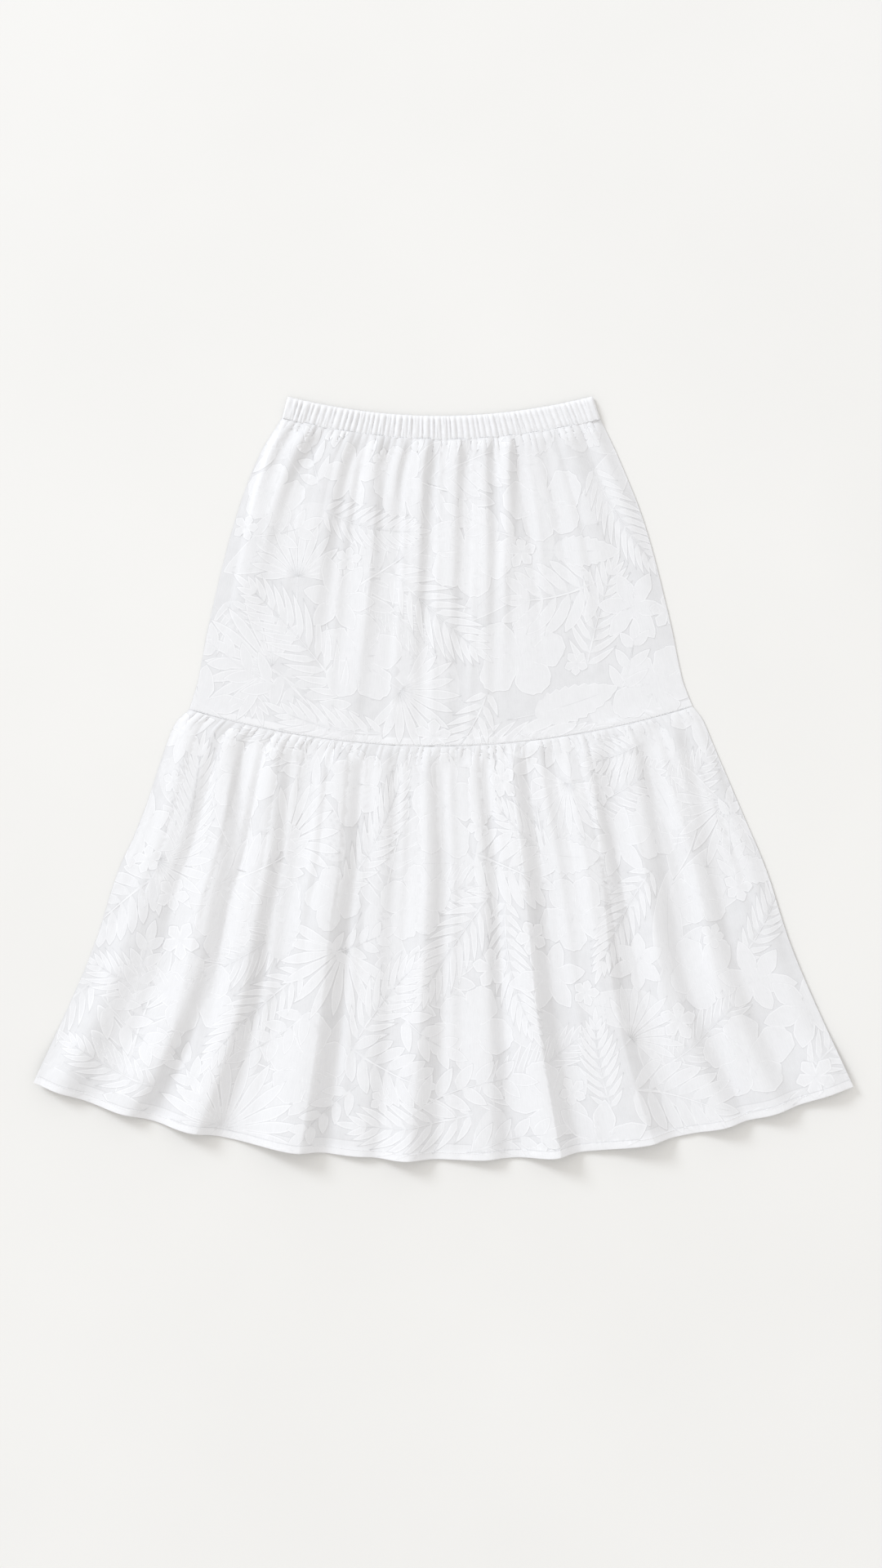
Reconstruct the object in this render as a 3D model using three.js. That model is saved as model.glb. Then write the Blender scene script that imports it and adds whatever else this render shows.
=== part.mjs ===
// A white tiered ruffle skirt laid flat, face up: a gathered waistband, a plain upper tier and a gathered lower tier.
// Millimetres. +X runs across the skirt, +Y towards the waist and +Z up from the surface that it lies on.
// The origin is on that surface, under the middle of the skirt's outline.
import * as THREE from "three";

// Cloth and seams
const CLOTH = 1.5; // a panel's wall, measured upright
const SEAM = 0.35; // between two pieces that are sewn together
const CASING = 2.8; // the waistband, with its elastic inside
const CASING_EDGE = 1.3; // the waistband where its edge rounds off
const HEM_DEPTH = 9; // the turned-up hem
const HEM_EXTRA = 0.7; // what the turned-up cloth adds to the wall
const BACK_SHORTER = 4; // the back's hem lies hidden under the front's
const UPPER_HEIGHT = 346; // the tiers along their middles, seam to seam and seam to hem
const LOWER_HEIGHT = 464;

// Gathers
const BAND_RIBS = 56; // on the front of the waistband
const RIB_RISE = 1.0;
const WAIST_GATHERS = 44; // on the front, below the waistband
const WAIST_GATHER_RISE = 1.5;
const TIER_GATHERS = 64; // on the front, below the tier seam
const TIER_GATHER_RISE = 1.9;
const GATHER_AT_STITCHES = 0.45; // how much of a gather's rise is left in the seam itself
const GATHER_LENGTHS = [22, 62]; // the shortest and the longest
const UNEVENNESS = 0.5; // how far the valleys between gathers stray, as a share of their spacing

// Heights of the front layer, which lies on the back layer
const FRONT_BASE = CLOTH + SEAM;
const WAIST_STEP = 1.7; // the front tier climbs this much to meet the thicker waistband
const TIER_SEAM_STEP = 0.9; // and this much over the seam allowance of the tier seam
const CORNER_LIFT = 7; // both layers curl up at the hem's two corners
const CORNER_CLEARANCE = 1.5; // and the front curls this much further
const SCALLOP = 0.13; // how far the hem reaches out at a fold, as a share of the fold's height
const SCALLOP_AHEAD = 0.01; // the furthest reach lies this share of the width before the crest

// Outlines, as lines across the skirt from its left edge to its right edge. down is the share of the tier's
// height, drop how far the middle hangs below the straight line between the ends, and bow how full the arc is.
const BAND_TOP = { down: 0, leftX: -175.5, leftY: 429.4, rightX: 168, rightY: 429.8, drop: 22, bow: 2 };
const WAIST_SEAM = { down: 1, leftX: -181.5, leftY: 406.5, rightX: 176.5, rightY: 405, drop: 24, bow: 2 };
const TIER_SEAM = { down: 1, leftX: -286, leftY: 77.5, rightX: 280.5, rightY: 81, drop: 43, bow: 2 };

const BAND_LINES = [BAND_TOP, WAIST_SEAM];
const UPPER_LINES = [
  lowered(WAIST_SEAM),
  { down: 0.13, leftX: -208, leftY: 362, rightX: 197, rightY: 361, drop: 27, bow: 2 },
  { down: 0.36, leftX: -235.5, leftY: 287, rightX: 226.5, rightY: 286, drop: 31, bow: 2 },
  { down: 0.7, leftX: -263.5, leftY: 176, rightX: 255, rightY: 177, drop: 37, bow: 2 },
  { down: 0.9, leftX: -276.5, leftY: 108.5, rightX: 269, rightY: 111, drop: 41, bow: 2 },
  TIER_SEAM,
];
const LOWER_LINES = [
  lowered(TIER_SEAM),
  { down: 0.035, leftX: -301, leftY: 63, rightX: 291.5, rightY: 66.5, drop: 45, bow: 2 },
  { down: 0.1, leftX: -313, leftY: 34.5, rightX: 303.5, rightY: 38.5, drop: 49, bow: 2.05 },
  { down: 0.3, leftX: -341.5, leftY: -50, rightX: 340, rightY: -47, drop: 57, bow: 2.1 },
  { down: 0.43, leftX: -366, leftY: -104, rightX: 363, rightY: -102, drop: 62, bow: 2.1 },
  { down: 0.65, leftX: -396, leftY: -196, rightX: 394, rightY: -196, drop: 69, bow: 2.15 },
  { down: 1, leftX: -460.5, leftY: -342, rightX: 460.5, rightY: -346.5, drop: 84.5, bow: 2.05 },
];

// Folds run down a tier. top, middle and bottom place the crest as shares of the width, rise is its greatest
// height, left and right are its two flanks as shares of the width.
// Below the waistband they die out: ends is the share of the tier's height where a fold is gone.
const UPPER_FOLDS = [
  { top: 0.018, middle: 0.045, bottom: 0.05, rise: 3.2, left: 0.018, right: 0.034, ends: 0.95 },
  { top: 0.09, middle: 0.075, bottom: 0.085, rise: 5.2, left: 0.045, right: 0.036, ends: 0.9 },
  { top: 0.215, middle: 0.215, bottom: 0.21, rise: 5, left: 0.075, right: 0.036, ends: 1.1 },
  { top: 0.303, middle: 0.335, bottom: 0.3, rise: 3.6, left: 0.05, right: 0.034, ends: 1.6 },
  { top: 0.383, middle: 0.37, bottom: 0.36, rise: 2.6, left: 0.03, right: 0.02, ends: 0.4 },
  { top: 0.455, middle: 0.445, bottom: 0.43, rise: 5.4, left: 0.055, right: 0.026, ends: 1.3 },
  { top: 0.555, middle: 0.525, bottom: 0.51, rise: 3.8, left: 0.05, right: 0.026, ends: 1.5 },
  { top: 0.64, middle: 0.605, bottom: 0.59, rise: 3.4, left: 0.04, right: 0.024, ends: 1.5 },
  { top: 0.712, middle: 0.655, bottom: 0.65, rise: 4.8, left: 0.03, right: 0.03, ends: 0.85 },
  { top: 0.795, middle: 0.77, bottom: 0.76, rise: 2.6, left: 0.05, right: 0.03, ends: 0.5 },
  { top: 0.888, middle: 0.875, bottom: 0.87, rise: 3.4, left: 0.06, right: 0.05, ends: 0.75 },
  { top: 0.965, middle: 0.965, bottom: 0.97, rise: 2.2, left: 0.035, right: 0.03, ends: 1.1 },
];
// Below the tier seam they grow: starts is the share of the rise that a fold has at the seam already.
const LOWER_FOLDS = [
  { top: 0.038, middle: 0.045, bottom: 0.032, rise: 7, left: 0.03, right: 0.032, starts: 0.5 },
  { top: 0.1, middle: 0.142, bottom: 0.113, rise: 13, left: 0.05, right: 0.03, starts: 0.35 },
  { top: 0.193, middle: 0.213, bottom: 0.197, rise: 17, left: 0.05, right: 0.03, starts: 0.28 },
  { top: 0.325, middle: 0.328, bottom: 0.325, rise: 21, left: 0.085, right: 0.032, starts: 0.24 },
  { top: 0.398, middle: 0.403, bottom: 0.398, rise: 6, left: 0.04, right: 0.03, starts: 0.5 },
  { top: 0.476, middle: 0.472, bottom: 0.458, rise: 16, left: 0.045, right: 0.036, starts: 0.25 },
  { top: 0.568, middle: 0.565, bottom: 0.557, rise: 9, left: 0.055, right: 0.026, starts: 0.4 },
  { top: 0.638, middle: 0.632, bottom: 0.643, rise: 21, left: 0.05, right: 0.026, starts: 0.24 },
  { top: 0.795, middle: 0.748, bottom: 0.757, rise: 17, left: 0.08, right: 0.03, starts: 0.28 },
  { top: 0.87, middle: 0.825, bottom: 0.849, rise: 13, left: 0.045, right: 0.03, starts: 0.3 },
  { top: 0.945, middle: 0.9, bottom: 0.91, rise: 12, left: 0.04, right: 0.03, starts: 0.3 },
  { top: 0.985, middle: 0.975, bottom: 0.978, rise: 5, left: 0.03, right: 0.02, starts: 0.4 },
];

const RIB_VALLEYS = unevenValleys(BAND_RIBS);
const WAIST_VALLEYS = unevenValleys(WAIST_GATHERS);
const TIER_VALLEYS = unevenValleys(TIER_GATHERS);

// Rows of points across each piece. columns is the number of points for each gather, and 0 where only the
// folds are followed.
const UPPER_ROWS = [
  { down: 0, columns: 4 },
  { down: 0.02, columns: 4 },
  { down: 0.07, columns: 2 },
  ...[0.15, 0.28, 0.45, 0.64, 0.82, 0.94, 1].map((down) => ({ down, columns: 0 })),
];
const HEM_START = 1 - HEM_DEPTH / LOWER_HEIGHT;
const LOWER_ROWS = [
  { down: 0, columns: 4 },
  { down: 0.013, columns: 4 },
  { down: 0.045, columns: 4 },
  { down: 0.09, columns: 2 },
  ...[0.15, 0.25, 0.38, 0.52, 0.66, 0.8, 0.87, 0.93].map((down) => ({ down, columns: 0 })),
  { down: HEM_START - 0.0015, columns: 0 },
  { down: HEM_START, columns: 0 },
  { down: 1, columns: 0 },
];
const BACK_COLUMNS = 20;
const CORNER_COLUMNS = [0.02, 0.04, 0.06, 0.08, 0.1]; // where the hem's corners curl up, from either side
const UPPER_BACK_ROWS = [0, 0.13, 0.36, 0.7, 1];
const LOWER_BACK_ROWS = [0, 0.1, 0.3, 0.65, 0.8, 0.87, 0.93, 1 - BACK_SHORTER / LOWER_HEIGHT];

const WHITE_CLOTH = { color: 0xf4f4f6, roughness: 0.85, metalness: 0 };

// The same line, a seam's width further down, as the next piece's top edge
function lowered(line) {
  return { ...line, down: 0, leftY: line.leftY - SEAM, rightY: line.rightY - SEAM };
}

function mix(a, b, share) {
  return a + (b - a) * share;
}

// 0 up to low, 1 from high on, and smooth between
function ease(low, high, value) {
  return THREE.MathUtils.smoothstep(value, low, high);
}

// A number between 0 and 1 that is always the same for the same index
function uneven(index) {
  const scrambled = Math.sin(index * 127.1 + 11.7) * 43758.5453;
  return scrambled - Math.floor(scrambled);
}

// Shares of the width where one gather or rib ends and the next begins
function unevenValleys(count) {
  const stray = (i) => (i % count === 0 ? 0 : UNEVENNESS * (uneven(i) - 0.5));
  return Array.from({ length: count + 1 }, (_, i) => (i + stray(i)) / count);
}

// Points across a piece, the same number on each gather
function gatherColumns(valleys, columns) {
  const steps = Array.from({ length: columns }, (_, k) => k / columns);
  const inside = valleys.slice(0, -1).flatMap((valley, i) =>
    steps.map((step) => mix(valley, valleys[i + 1], step)),
  );
  return [...inside, 1];
}

// Which gather a point lies on, and its height there between two valleys: a rounded ridge, from 0 to 1
function ridgeAt(valleys, across) {
  let index = Math.min(Math.floor(across * (valleys.length - 1)), valleys.length - 2);
  if (across < valleys[index]) index--;
  else if (index < valleys.length - 2 && across >= valleys[index + 1]) index++;
  const place = (across - valleys[index]) / (valleys[index + 1] - valleys[index]);
  return { index, ridge: Math.sin(Math.PI * place) };
}

// One column of a table of lines, followed smoothly down the tier
function followed(lines, name, down) {
  const last = lines.length - 1;
  let i = 0;
  while (i < last - 1 && down > lines[i + 1].down) i++;
  const before = lines[Math.max(i - 1, 0)];
  const [a, b] = [lines[i], lines[i + 1]];
  const after = lines[Math.min(i + 2, last)];
  const span = b.down - a.down;
  const share = (down - a.down) / span;
  const slopeA = ((b[name] - before[name]) / Math.max(b.down - before.down, 1e-9)) * span;
  const slopeB = ((after[name] - a[name]) / Math.max(after.down - a.down, 1e-9)) * span;
  const s2 = share * share;
  const s3 = s2 * share;
  return (
    (2 * s3 - 3 * s2 + 1) * a[name] +
    (s3 - 2 * s2 + share) * slopeA +
    (3 * s2 - 2 * s3) * b[name] +
    (s3 - s2) * slopeB
  );
}

// Where the point at this share of the width and height lies, seen from above
function planPoint(lines, across, down) {
  const at = (name) => followed(lines, name, down);
  const arc = 1 - Math.abs(2 * across - 1) ** at("bow");
  return [
    mix(at("leftX"), at("rightX"), across),
    mix(at("leftY"), at("rightY"), across) - at("drop") * arc,
  ];
}

// The same on the front lower tier, whose hem reaches out a little at each fold
function scallopedPoint(lines, across, down) {
  const [x, y] = planPoint(lines, across, down);
  const inside = ease(0, 0.03, Math.min(across, 1 - across));
  const reach = SCALLOP * lowerFolds(across + SCALLOP_AHEAD, 1) * inside;
  return [x, y - reach * ease(0.6, 1, down)];
}

// A fold's crest, on a smooth curve through its three places
function crestOf(fold, down) {
  const bend = 4 * down * (1 - down);
  const straight = mix(fold.top, fold.bottom, down);
  return straight + (fold.middle - mix(fold.top, fold.bottom, 0.5)) * bend;
}

// The height of one fold: a gentle flank, a crest and a steeper flank
function foldHeight(fold, across, down, share) {
  const away = across - crestOf(fold, down);
  const flank = away < 0 ? fold.left : fold.right;
  if (Math.abs(away) >= flank) return 0;
  return fold.rise * share * 0.5 * (1 + Math.cos((Math.PI * away) / flank));
}

// Small gathers below a seam: rounded ridges with sharp valleys, each fading out at a length of its own
function gatherHeight(valleys, rise, below, across) {
  const { index, ridge } = ridgeAt(valleys, across);
  const length = mix(...GATHER_LENGTHS, uneven(index + valleys.length));
  const height = rise * mix(0.7, 1.1, uneven(index));
  const inSeam = mix(GATHER_AT_STITCHES, 1, ease(0, 6, below));
  return height * inSeam * (1 - ease(4, length, below)) * ridge;
}

// The folds alone, away from a tier's side edges, which lie flat
function upperFolds(across, down) {
  const share = (fold) => 1 - ease(0, fold.ends, down);
  return UPPER_FOLDS.reduce((sum, fold) => sum + foldHeight(fold, across, down, share(fold)), 0);
}

function lowerFolds(across, down) {
  const share = (fold) => mix(fold.starts, 1, down);
  return LOWER_FOLDS.reduce((sum, fold) => sum + foldHeight(fold, across, down, share(fold)), 0);
}

function flatAtSides(across) {
  return ease(0, 0.012, Math.min(across, 1 - across));
}

function cornerLift(across, down) {
  const sideways = 1 - ease(0, 0.1, Math.min(across, 1 - across));
  return CORNER_LIFT * sideways * ease(0.82, 1, down);
}

// The underside of the front upper tier
function upperHeight(across, down) {
  const folds = upperFolds(across, down) * ease(-0.03, 0.05, down);
  const gathers = gatherHeight(WAIST_VALLEYS, WAIST_GATHER_RISE, UPPER_HEIGHT * down, across);
  const steps = WAIST_STEP * (1 - ease(0, 0.16, down)) + TIER_SEAM_STEP * ease(0.93, 1, down);
  return FRONT_BASE + steps + flatAtSides(across) * (folds + gathers);
}

// The underside of the front lower tier, whose top edge follows the upper tier's bottom edge
function lowerHeight(across, down) {
  const folds = mix(upperFolds(across, 1), lowerFolds(across, down), ease(0, 0.06, down));
  const gathers = gatherHeight(TIER_VALLEYS, TIER_GATHER_RISE, LOWER_HEIGHT * down, across);
  const steps = TIER_SEAM_STEP * (1 - ease(0, 0.06, down));
  const lift = cornerLift(across, down) * (1 + CORNER_CLEARANCE / CORNER_LIFT);
  return FRONT_BASE + steps + lift + flatAtSides(across) * (folds + gathers);
}

// Shares of the width that follow the flanks and crests of the folds, and the curled corners
function foldColumns(folds, down) {
  const gentle = [1, 0.66, 0.33];
  const steep = [0, 0.34, 0.67, 1];
  const places = folds.flatMap((fold) => {
    const crest = crestOf(fold, down);
    return [
      ...gentle.map((share) => crest - fold.left * share),
      ...steep.map((share) => crest + fold.right * share),
    ];
  });
  const corners = CORNER_COLUMNS.flatMap((place) => [place, 1 - place]);
  const inside = [...places, ...corners]
    .filter((place) => place > 0.004 && place < 0.996)
    .sort((a, b) => a - b);
  const apart = inside.filter((place, i) => i === 0 || place - inside[i - 1] > 0.003);
  return [0, ...apart, 1];
}

function evenColumns(count) {
  return Array.from({ length: count + 1 }, (_, i) => i / count);
}

function backColumns() {
  const middle = evenColumns(BACK_COLUMNS).filter((place) => place > 0.11 && place < 0.89);
  return [0, ...CORNER_COLUMNS, ...middle, ...CORNER_COLUMNS.map((place) => 1 - place).reverse(), 1];
}

// A row of points across a piece at one height
function rowOf(lines, places, down, heightAt, pointAt = planPoint) {
  return places.map((across) => {
    const [x, y] = pointAt(lines, across, down);
    return { share: across, down, point: [x, y, heightAt(across, down)] };
  });
}

// Triangles between two lines of corners, matched by a share that grows along both
function stitch(upper, lower, shareOf) {
  const triangles = [];
  let [i, j] = [0, 0];
  while (i < upper.length - 1 || j < lower.length - 1) {
    const lowerNext = j < lower.length - 1 ? shareOf(lower[j + 1]) : Infinity;
    const upperNext = i < upper.length - 1 ? shareOf(upper[i + 1]) : Infinity;
    if (lowerNext <= upperNext) triangles.push([upper[i], lower[j], lower[++j]]);
    else triangles.push([upper[i], lower[j], upper[++i]]);
  }
  return triangles;
}

// One closed wall between an outer and an inner grid of rows, whose first and last rows match
function closedWall(outer, inner) {
  const across = (corner) => corner.share;
  const downwards = (corner) => corner.down;
  const first = (rows) => rows.map((row) => row[0]);
  const last = (rows) => rows.map((row) => row[row.length - 1]);
  const faces = [];
  for (let k = 1; k < outer.length; k++) faces.push(...stitch(outer[k - 1], outer[k], across));
  for (let k = 1; k < inner.length; k++) {
    faces.push(...stitch(inner[k - 1], inner[k], across).map(([a, b, c]) => [a, c, b]));
  }
  faces.push(
    ...stitch(inner[0], outer[0], across),
    ...stitch(outer.at(-1), inner.at(-1), across),
    ...stitch(first(outer), first(inner), downwards),
    ...stitch(last(inner), last(outer), downwards),
  );
  const corners = [...outer, ...inner].flat();
  const number = new Map(corners.map((corner, i) => [corner, i]));
  const positions = new Float32Array(corners.flatMap((corner) => corner.point));
  const geometry = new THREE.BufferGeometry();
  geometry.setAttribute("position", new THREE.BufferAttribute(positions, 3));
  geometry.setIndex(faces.flat().map((corner) => number.get(corner)));
  geometry.computeVertexNormals();
  return geometry;
}

// A panel of the front layer: its wall follows every fold and gather on both faces
function frontPanel({ lines, rows, folds, valleys, heightAt, pointAt, extraAt = () => 0 }) {
  const places = ({ down, columns }) =>
    columns ? gatherColumns(valleys, columns) : foldColumns(folds, down);
  const outside = (across, down) => heightAt(across, down) + CLOTH + extraAt(down);
  const inner = rows.map((row) => rowOf(lines, places(row), row.down, heightAt, pointAt));
  const outer = rows.map((row) => rowOf(lines, places(row), row.down, outside, pointAt));
  return closedWall(outer, inner);
}

// A panel of the back layer, flat on the surface apart from its lifted corners
function backPanel(lines, rows, liftAt) {
  const places = backColumns();
  const inner = rows.map((down) => rowOf(lines, places, down, liftAt));
  const outer = rows.map((down) => rowOf(lines, places, down, (a, d) => liftAt(a, d) + CLOTH));
  return closedWall(outer, inner);
}

// Half of the waistband: a plain inside, a ribbed outside and rounded long edges
function ribbedBand() {
  const places = gatherColumns(RIB_VALLEYS, 4);
  const base = CASING + SEAM;
  const rib = (across) => RIB_RISE * ridgeAt(RIB_VALLEYS, across).ridge;
  const rows = [
    { down: 0, thick: CASING_EDGE, ribbed: 0.5 },
    { down: 0.13, thick: CASING, ribbed: 1 },
    { down: 0.87, thick: CASING, ribbed: 1 },
    { down: 1, thick: CASING_EDGE + 0.6, ribbed: 0.7 },
  ];
  const outer = rows.map((row) =>
    rowOf(BAND_LINES, places, row.down, (a) => base + row.thick + row.ribbed * rib(a)),
  );
  const inside = evenColumns(BAND_RIBS / 2);
  const inner = [0, 1].map((down) => rowOf(BAND_LINES, inside, down, () => base));
  return closedWall(outer, inner);
}

function plainBand() {
  const places = evenColumns(BACK_COLUMNS);
  const inner = [0, 1].map((down) => rowOf(BAND_LINES, places, down, () => 0));
  const outer = [0, 1].map((down) => rowOf(BAND_LINES, places, down, () => CASING));
  return closedWall(outer, inner);
}

function upperFront() {
  return frontPanel({
    lines: UPPER_LINES,
    rows: UPPER_ROWS,
    folds: UPPER_FOLDS,
    valleys: WAIST_VALLEYS,
    heightAt: upperHeight,
  });
}

function lowerFront() {
  return frontPanel({
    lines: LOWER_LINES,
    rows: LOWER_ROWS,
    folds: LOWER_FOLDS,
    valleys: TIER_VALLEYS,
    heightAt: lowerHeight,
    pointAt: scallopedPoint,
    extraAt: (down) => (down >= HEM_START ? HEM_EXTRA : 0),
  });
}

function piece(name, geometry) {
  const mesh = new THREE.Mesh(geometry, new THREE.MeshStandardMaterial(WHITE_CLOTH));
  mesh.name = name;
  return mesh;
}

const skirt = new THREE.Group();
skirt.add(
  piece("waistband_front", ribbedBand()),
  piece("waistband_back", plainBand()),
  piece("upper_tier_front", upperFront()),
  piece("upper_tier_back", backPanel(UPPER_LINES, UPPER_BACK_ROWS, () => 0)),
  piece("lower_tier_front", lowerFront()),
  piece("lower_tier_back", backPanel(LOWER_LINES, LOWER_BACK_ROWS, cornerLift)),
);

export default skirt;
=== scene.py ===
"""The looks of a white tiered ruffle skirt that is laid flat, face up.

Metres. +X runs across the skirt, +Y towards the waist, +Z up from the floor. Every piece is a thin shell on
the form of its CAD node, and the leaves and flowers of the burnout cloth are thin raised patches on it.
"""

import math

import bpy
import mathutils
import numpy as np
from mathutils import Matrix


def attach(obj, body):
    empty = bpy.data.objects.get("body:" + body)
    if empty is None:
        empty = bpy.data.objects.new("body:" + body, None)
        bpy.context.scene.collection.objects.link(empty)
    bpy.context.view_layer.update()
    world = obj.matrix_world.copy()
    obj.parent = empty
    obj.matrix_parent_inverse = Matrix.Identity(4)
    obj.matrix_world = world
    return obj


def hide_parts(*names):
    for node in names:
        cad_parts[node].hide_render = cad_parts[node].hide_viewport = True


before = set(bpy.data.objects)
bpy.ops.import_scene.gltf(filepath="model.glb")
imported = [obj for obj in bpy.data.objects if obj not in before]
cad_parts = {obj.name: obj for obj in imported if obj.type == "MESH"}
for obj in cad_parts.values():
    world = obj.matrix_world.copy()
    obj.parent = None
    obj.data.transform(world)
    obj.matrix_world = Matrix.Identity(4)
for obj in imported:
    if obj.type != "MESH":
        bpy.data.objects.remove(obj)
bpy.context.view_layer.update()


def table(names, *rows):
    """The rows of a table whose columns have these names."""
    return [dict(zip(names.split(), row)) for row in rows]


# Cloth and seams
CLOTH = 0.0015  # the wall of a CAD panel
SHELL = 0.0005  # the cloth as it is shown
SEAM = 0.00035  # the gap between two pieces at a seam
CASING = 0.0028  # cloth and elastic together
HEM_DEPTH = 0.009  # the turned-up hem
HEM_STEP = 0.0004  # how far the turned-up hem stands above the single cloth
ALLOWANCE = 0.0085  # the seam allowance that shows through above the tier seam
ALLOWANCE_STEP = 0.0003  # and how far it lifts the cloth
BACK_SHORTER = 0.004  # the back's hem
UPPER_HEIGHT = 0.346
LOWER_HEIGHT = 0.464
UPPER_WIDTH = 0.5  # halfway down the tier
LOWER_WIDTH = 0.75
UPPER_CUT = (0.60, 0.346)  # the flat cloth that shows, width and length, for half of the skirt
LOWER_CUT = (1.00, 0.473)
BAND_CUT = (0.44, 0.0255)
PRINT_SHARE = 0.87  # of the cut's width that carries motifs: the rest is hidden in the gathers

# Gathers
BAND_RIBS = 56
RIB_RISE = 0.0024  # the heights of ribs and gathers
WAIST_GATHERS = 44
WAIST_GATHER_RISE = 0.0014
TIER_GATHERS = 64
TIER_GATHER_RISE = 0.0013
WAIST_AT_STITCHES = 0.9  # a gather's height right at its seam, as a share of its full height
TIER_AT_STITCHES = 0.48
GATHER_LENGTHS = (0.012, 0.042)
GATHER_START = 0.004  # gathers reach their full height this far below a seam
UPPER_MERGED = dict(count=14, seed=40, rise=0.0022, reach=0.34)  # wider ridges that the gathers run into
LOWER_MERGED = dict(count=24, seed=11, rise=0.0023, reach=0.50)
UNEVENNESS = 0.5  # how far the valleys between them stray, as a share of their distance

# Heights of the front layer
FRONT_BASE = CLOTH + SEAM
WAIST_STEP = 0.0017  # how much higher the cloth lies at its seams, over their allowances
TIER_SEAM_STEP = 0.0009
CORNER_LIFT = 0.007
CORNER_CLEARANCE = 0.0015  # between the front's hem corners and the back's
SCALLOP = 0.13  # the hem line runs lower under a fold by this share of its height
SCALLOP_AHEAD = 0.01  # and is lowest a little to the left of the crest
HEM_PRESSED = 0.9  # how much of their height the folds keep at the hem
UPPER_DRAPE = 1.15  # the upper tier's folds stand this much higher here than the CAD's, above its seam
SIDE_MEETS = 0.0015  # where the front's side edges end, just above the back's
SIDE_REACH = 0.05  # the front's sides come down to them over this width
EDGE_LIFT = 0.001  # how far the right edge stands up above its corner
EDGE_ROLL = 0.0009  # the hem's edge is rounded over this width
SEAM_DIP = 0.0002  # how deep the cloth dips into a seam, and over what width
SEAM_ROLL = 0.001
UPPER_WAVES = 0.0002  # the height of slight waves all over the cloth
LOWER_WAVES = 0.00035
BACK_CLEARANCE = 0.0009  # the back layer's motifs reach down from it to the floor
SIDE_CLEARANCE = 0.0005  # and less at the side edges
BACK_TROUGHS = 0.12  # the back's folds and gathers, pressed on the floor, as shares of the front's
BACK_GATHERS = 0.45
BACK_SIDES = 0.06  # and flat over this share of the width at its sides

# The waistband
BAND_HEIGHT = 0.0245
BAND_LENGTH = 0.354
BAND_STITCH = 0.0012  # the height of its stitches above the seam
STITCH_DIP = 0.0003
RIB_LEAN = 0.022  # of the band's length, from its top to its bottom
RIB_SINK = 0.0009  # valleys between ribs lie this much below the plain casing
RIB_BULGE = 0.0007  # ribs swell out over both edges of the band by this much
BAND_TOP_ROLL = 0.0034  # its edges are rounded over these widths
BAND_END_ROLL = 0.0026
BAND_BACK_CLEARANCE = 0.0012
BACK_RIBS = 0.25  # the back's ribs, pressed on the floor, as a share of the front's
FORKED_DOWN = 0.28  # the shares of the ribs that fork towards the bottom and towards the top
FORKED_UP = 0.24

# The waistband's and the tiers' lines, from edge to edge, as in the CAD part
BAND_LINES = table(
    "down left_x left_y right_x right_y drop bow",
    (0, -0.1755, 0.4294, 0.168, 0.4298, 0.022, 2),
    (1, -0.1815, 0.4059, 0.1765, 0.4044, 0.024, 2),
)
UPPER_LINES = table(
    "down left_x left_y right_x right_y drop bow",
    (0, -0.1815, 0.40615, 0.1765, 0.40465, 0.024, 2),
    (0.13, -0.208, 0.362, 0.197, 0.361, 0.027, 2),
    (0.36, -0.2355, 0.287, 0.2265, 0.286, 0.031, 2),
    (0.7, -0.2635, 0.176, 0.255, 0.177, 0.037, 2),
    (0.9, -0.2765, 0.1085, 0.269, 0.111, 0.041, 2),
    (1, -0.286, 0.0775, 0.2805, 0.081, 0.043, 2),
)
LOWER_LINES = table(
    "down left_x left_y right_x right_y drop bow",
    (0, -0.286, 0.07742, 0.2805, 0.08092, 0.043, 2),
    (0.035, -0.301, 0.063, 0.2915, 0.0665, 0.045, 2),
    (0.1, -0.313, 0.0345, 0.3035, 0.0385, 0.049, 2.05),
    (0.3, -0.3415, -0.05, 0.34, -0.047, 0.057, 2.1),
    (0.43, -0.366, -0.104, 0.363, -0.102, 0.062, 2.1),
    (0.65, -0.396, -0.196, 0.394, -0.196, 0.069, 2.15),
    (1, -0.4605, -0.342, 0.4605, -0.3465, 0.0845, 2.05),
)

# The folds, as in the CAD part but for a lower last one: shares of the width, and heights in metres
UPPER_FOLDS = table(
    "top middle bottom rise left right ends",
    (0.018, 0.045, 0.05, 0.0032, 0.018, 0.034, 0.95),
    (0.09, 0.075, 0.085, 0.0052, 0.045, 0.036, 0.9),
    (0.215, 0.215, 0.21, 0.005, 0.075, 0.036, 1.1),
    (0.303, 0.335, 0.3, 0.0036, 0.05, 0.034, 1.6),
    (0.383, 0.37, 0.36, 0.0026, 0.03, 0.02, 0.4),
    (0.455, 0.445, 0.43, 0.0054, 0.055, 0.026, 1.3),
    (0.555, 0.525, 0.51, 0.0038, 0.05, 0.026, 1.5),
    (0.64, 0.605, 0.59, 0.0034, 0.04, 0.024, 1.5),
    (0.712, 0.655, 0.65, 0.0048, 0.03, 0.03, 0.85),
    (0.795, 0.77, 0.76, 0.0026, 0.05, 0.03, 0.5),
    (0.888, 0.875, 0.87, 0.0034, 0.06, 0.05, 0.75),
    (0.965, 0.965, 0.97, 0.0022, 0.035, 0.03, 1.1),
)
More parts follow.
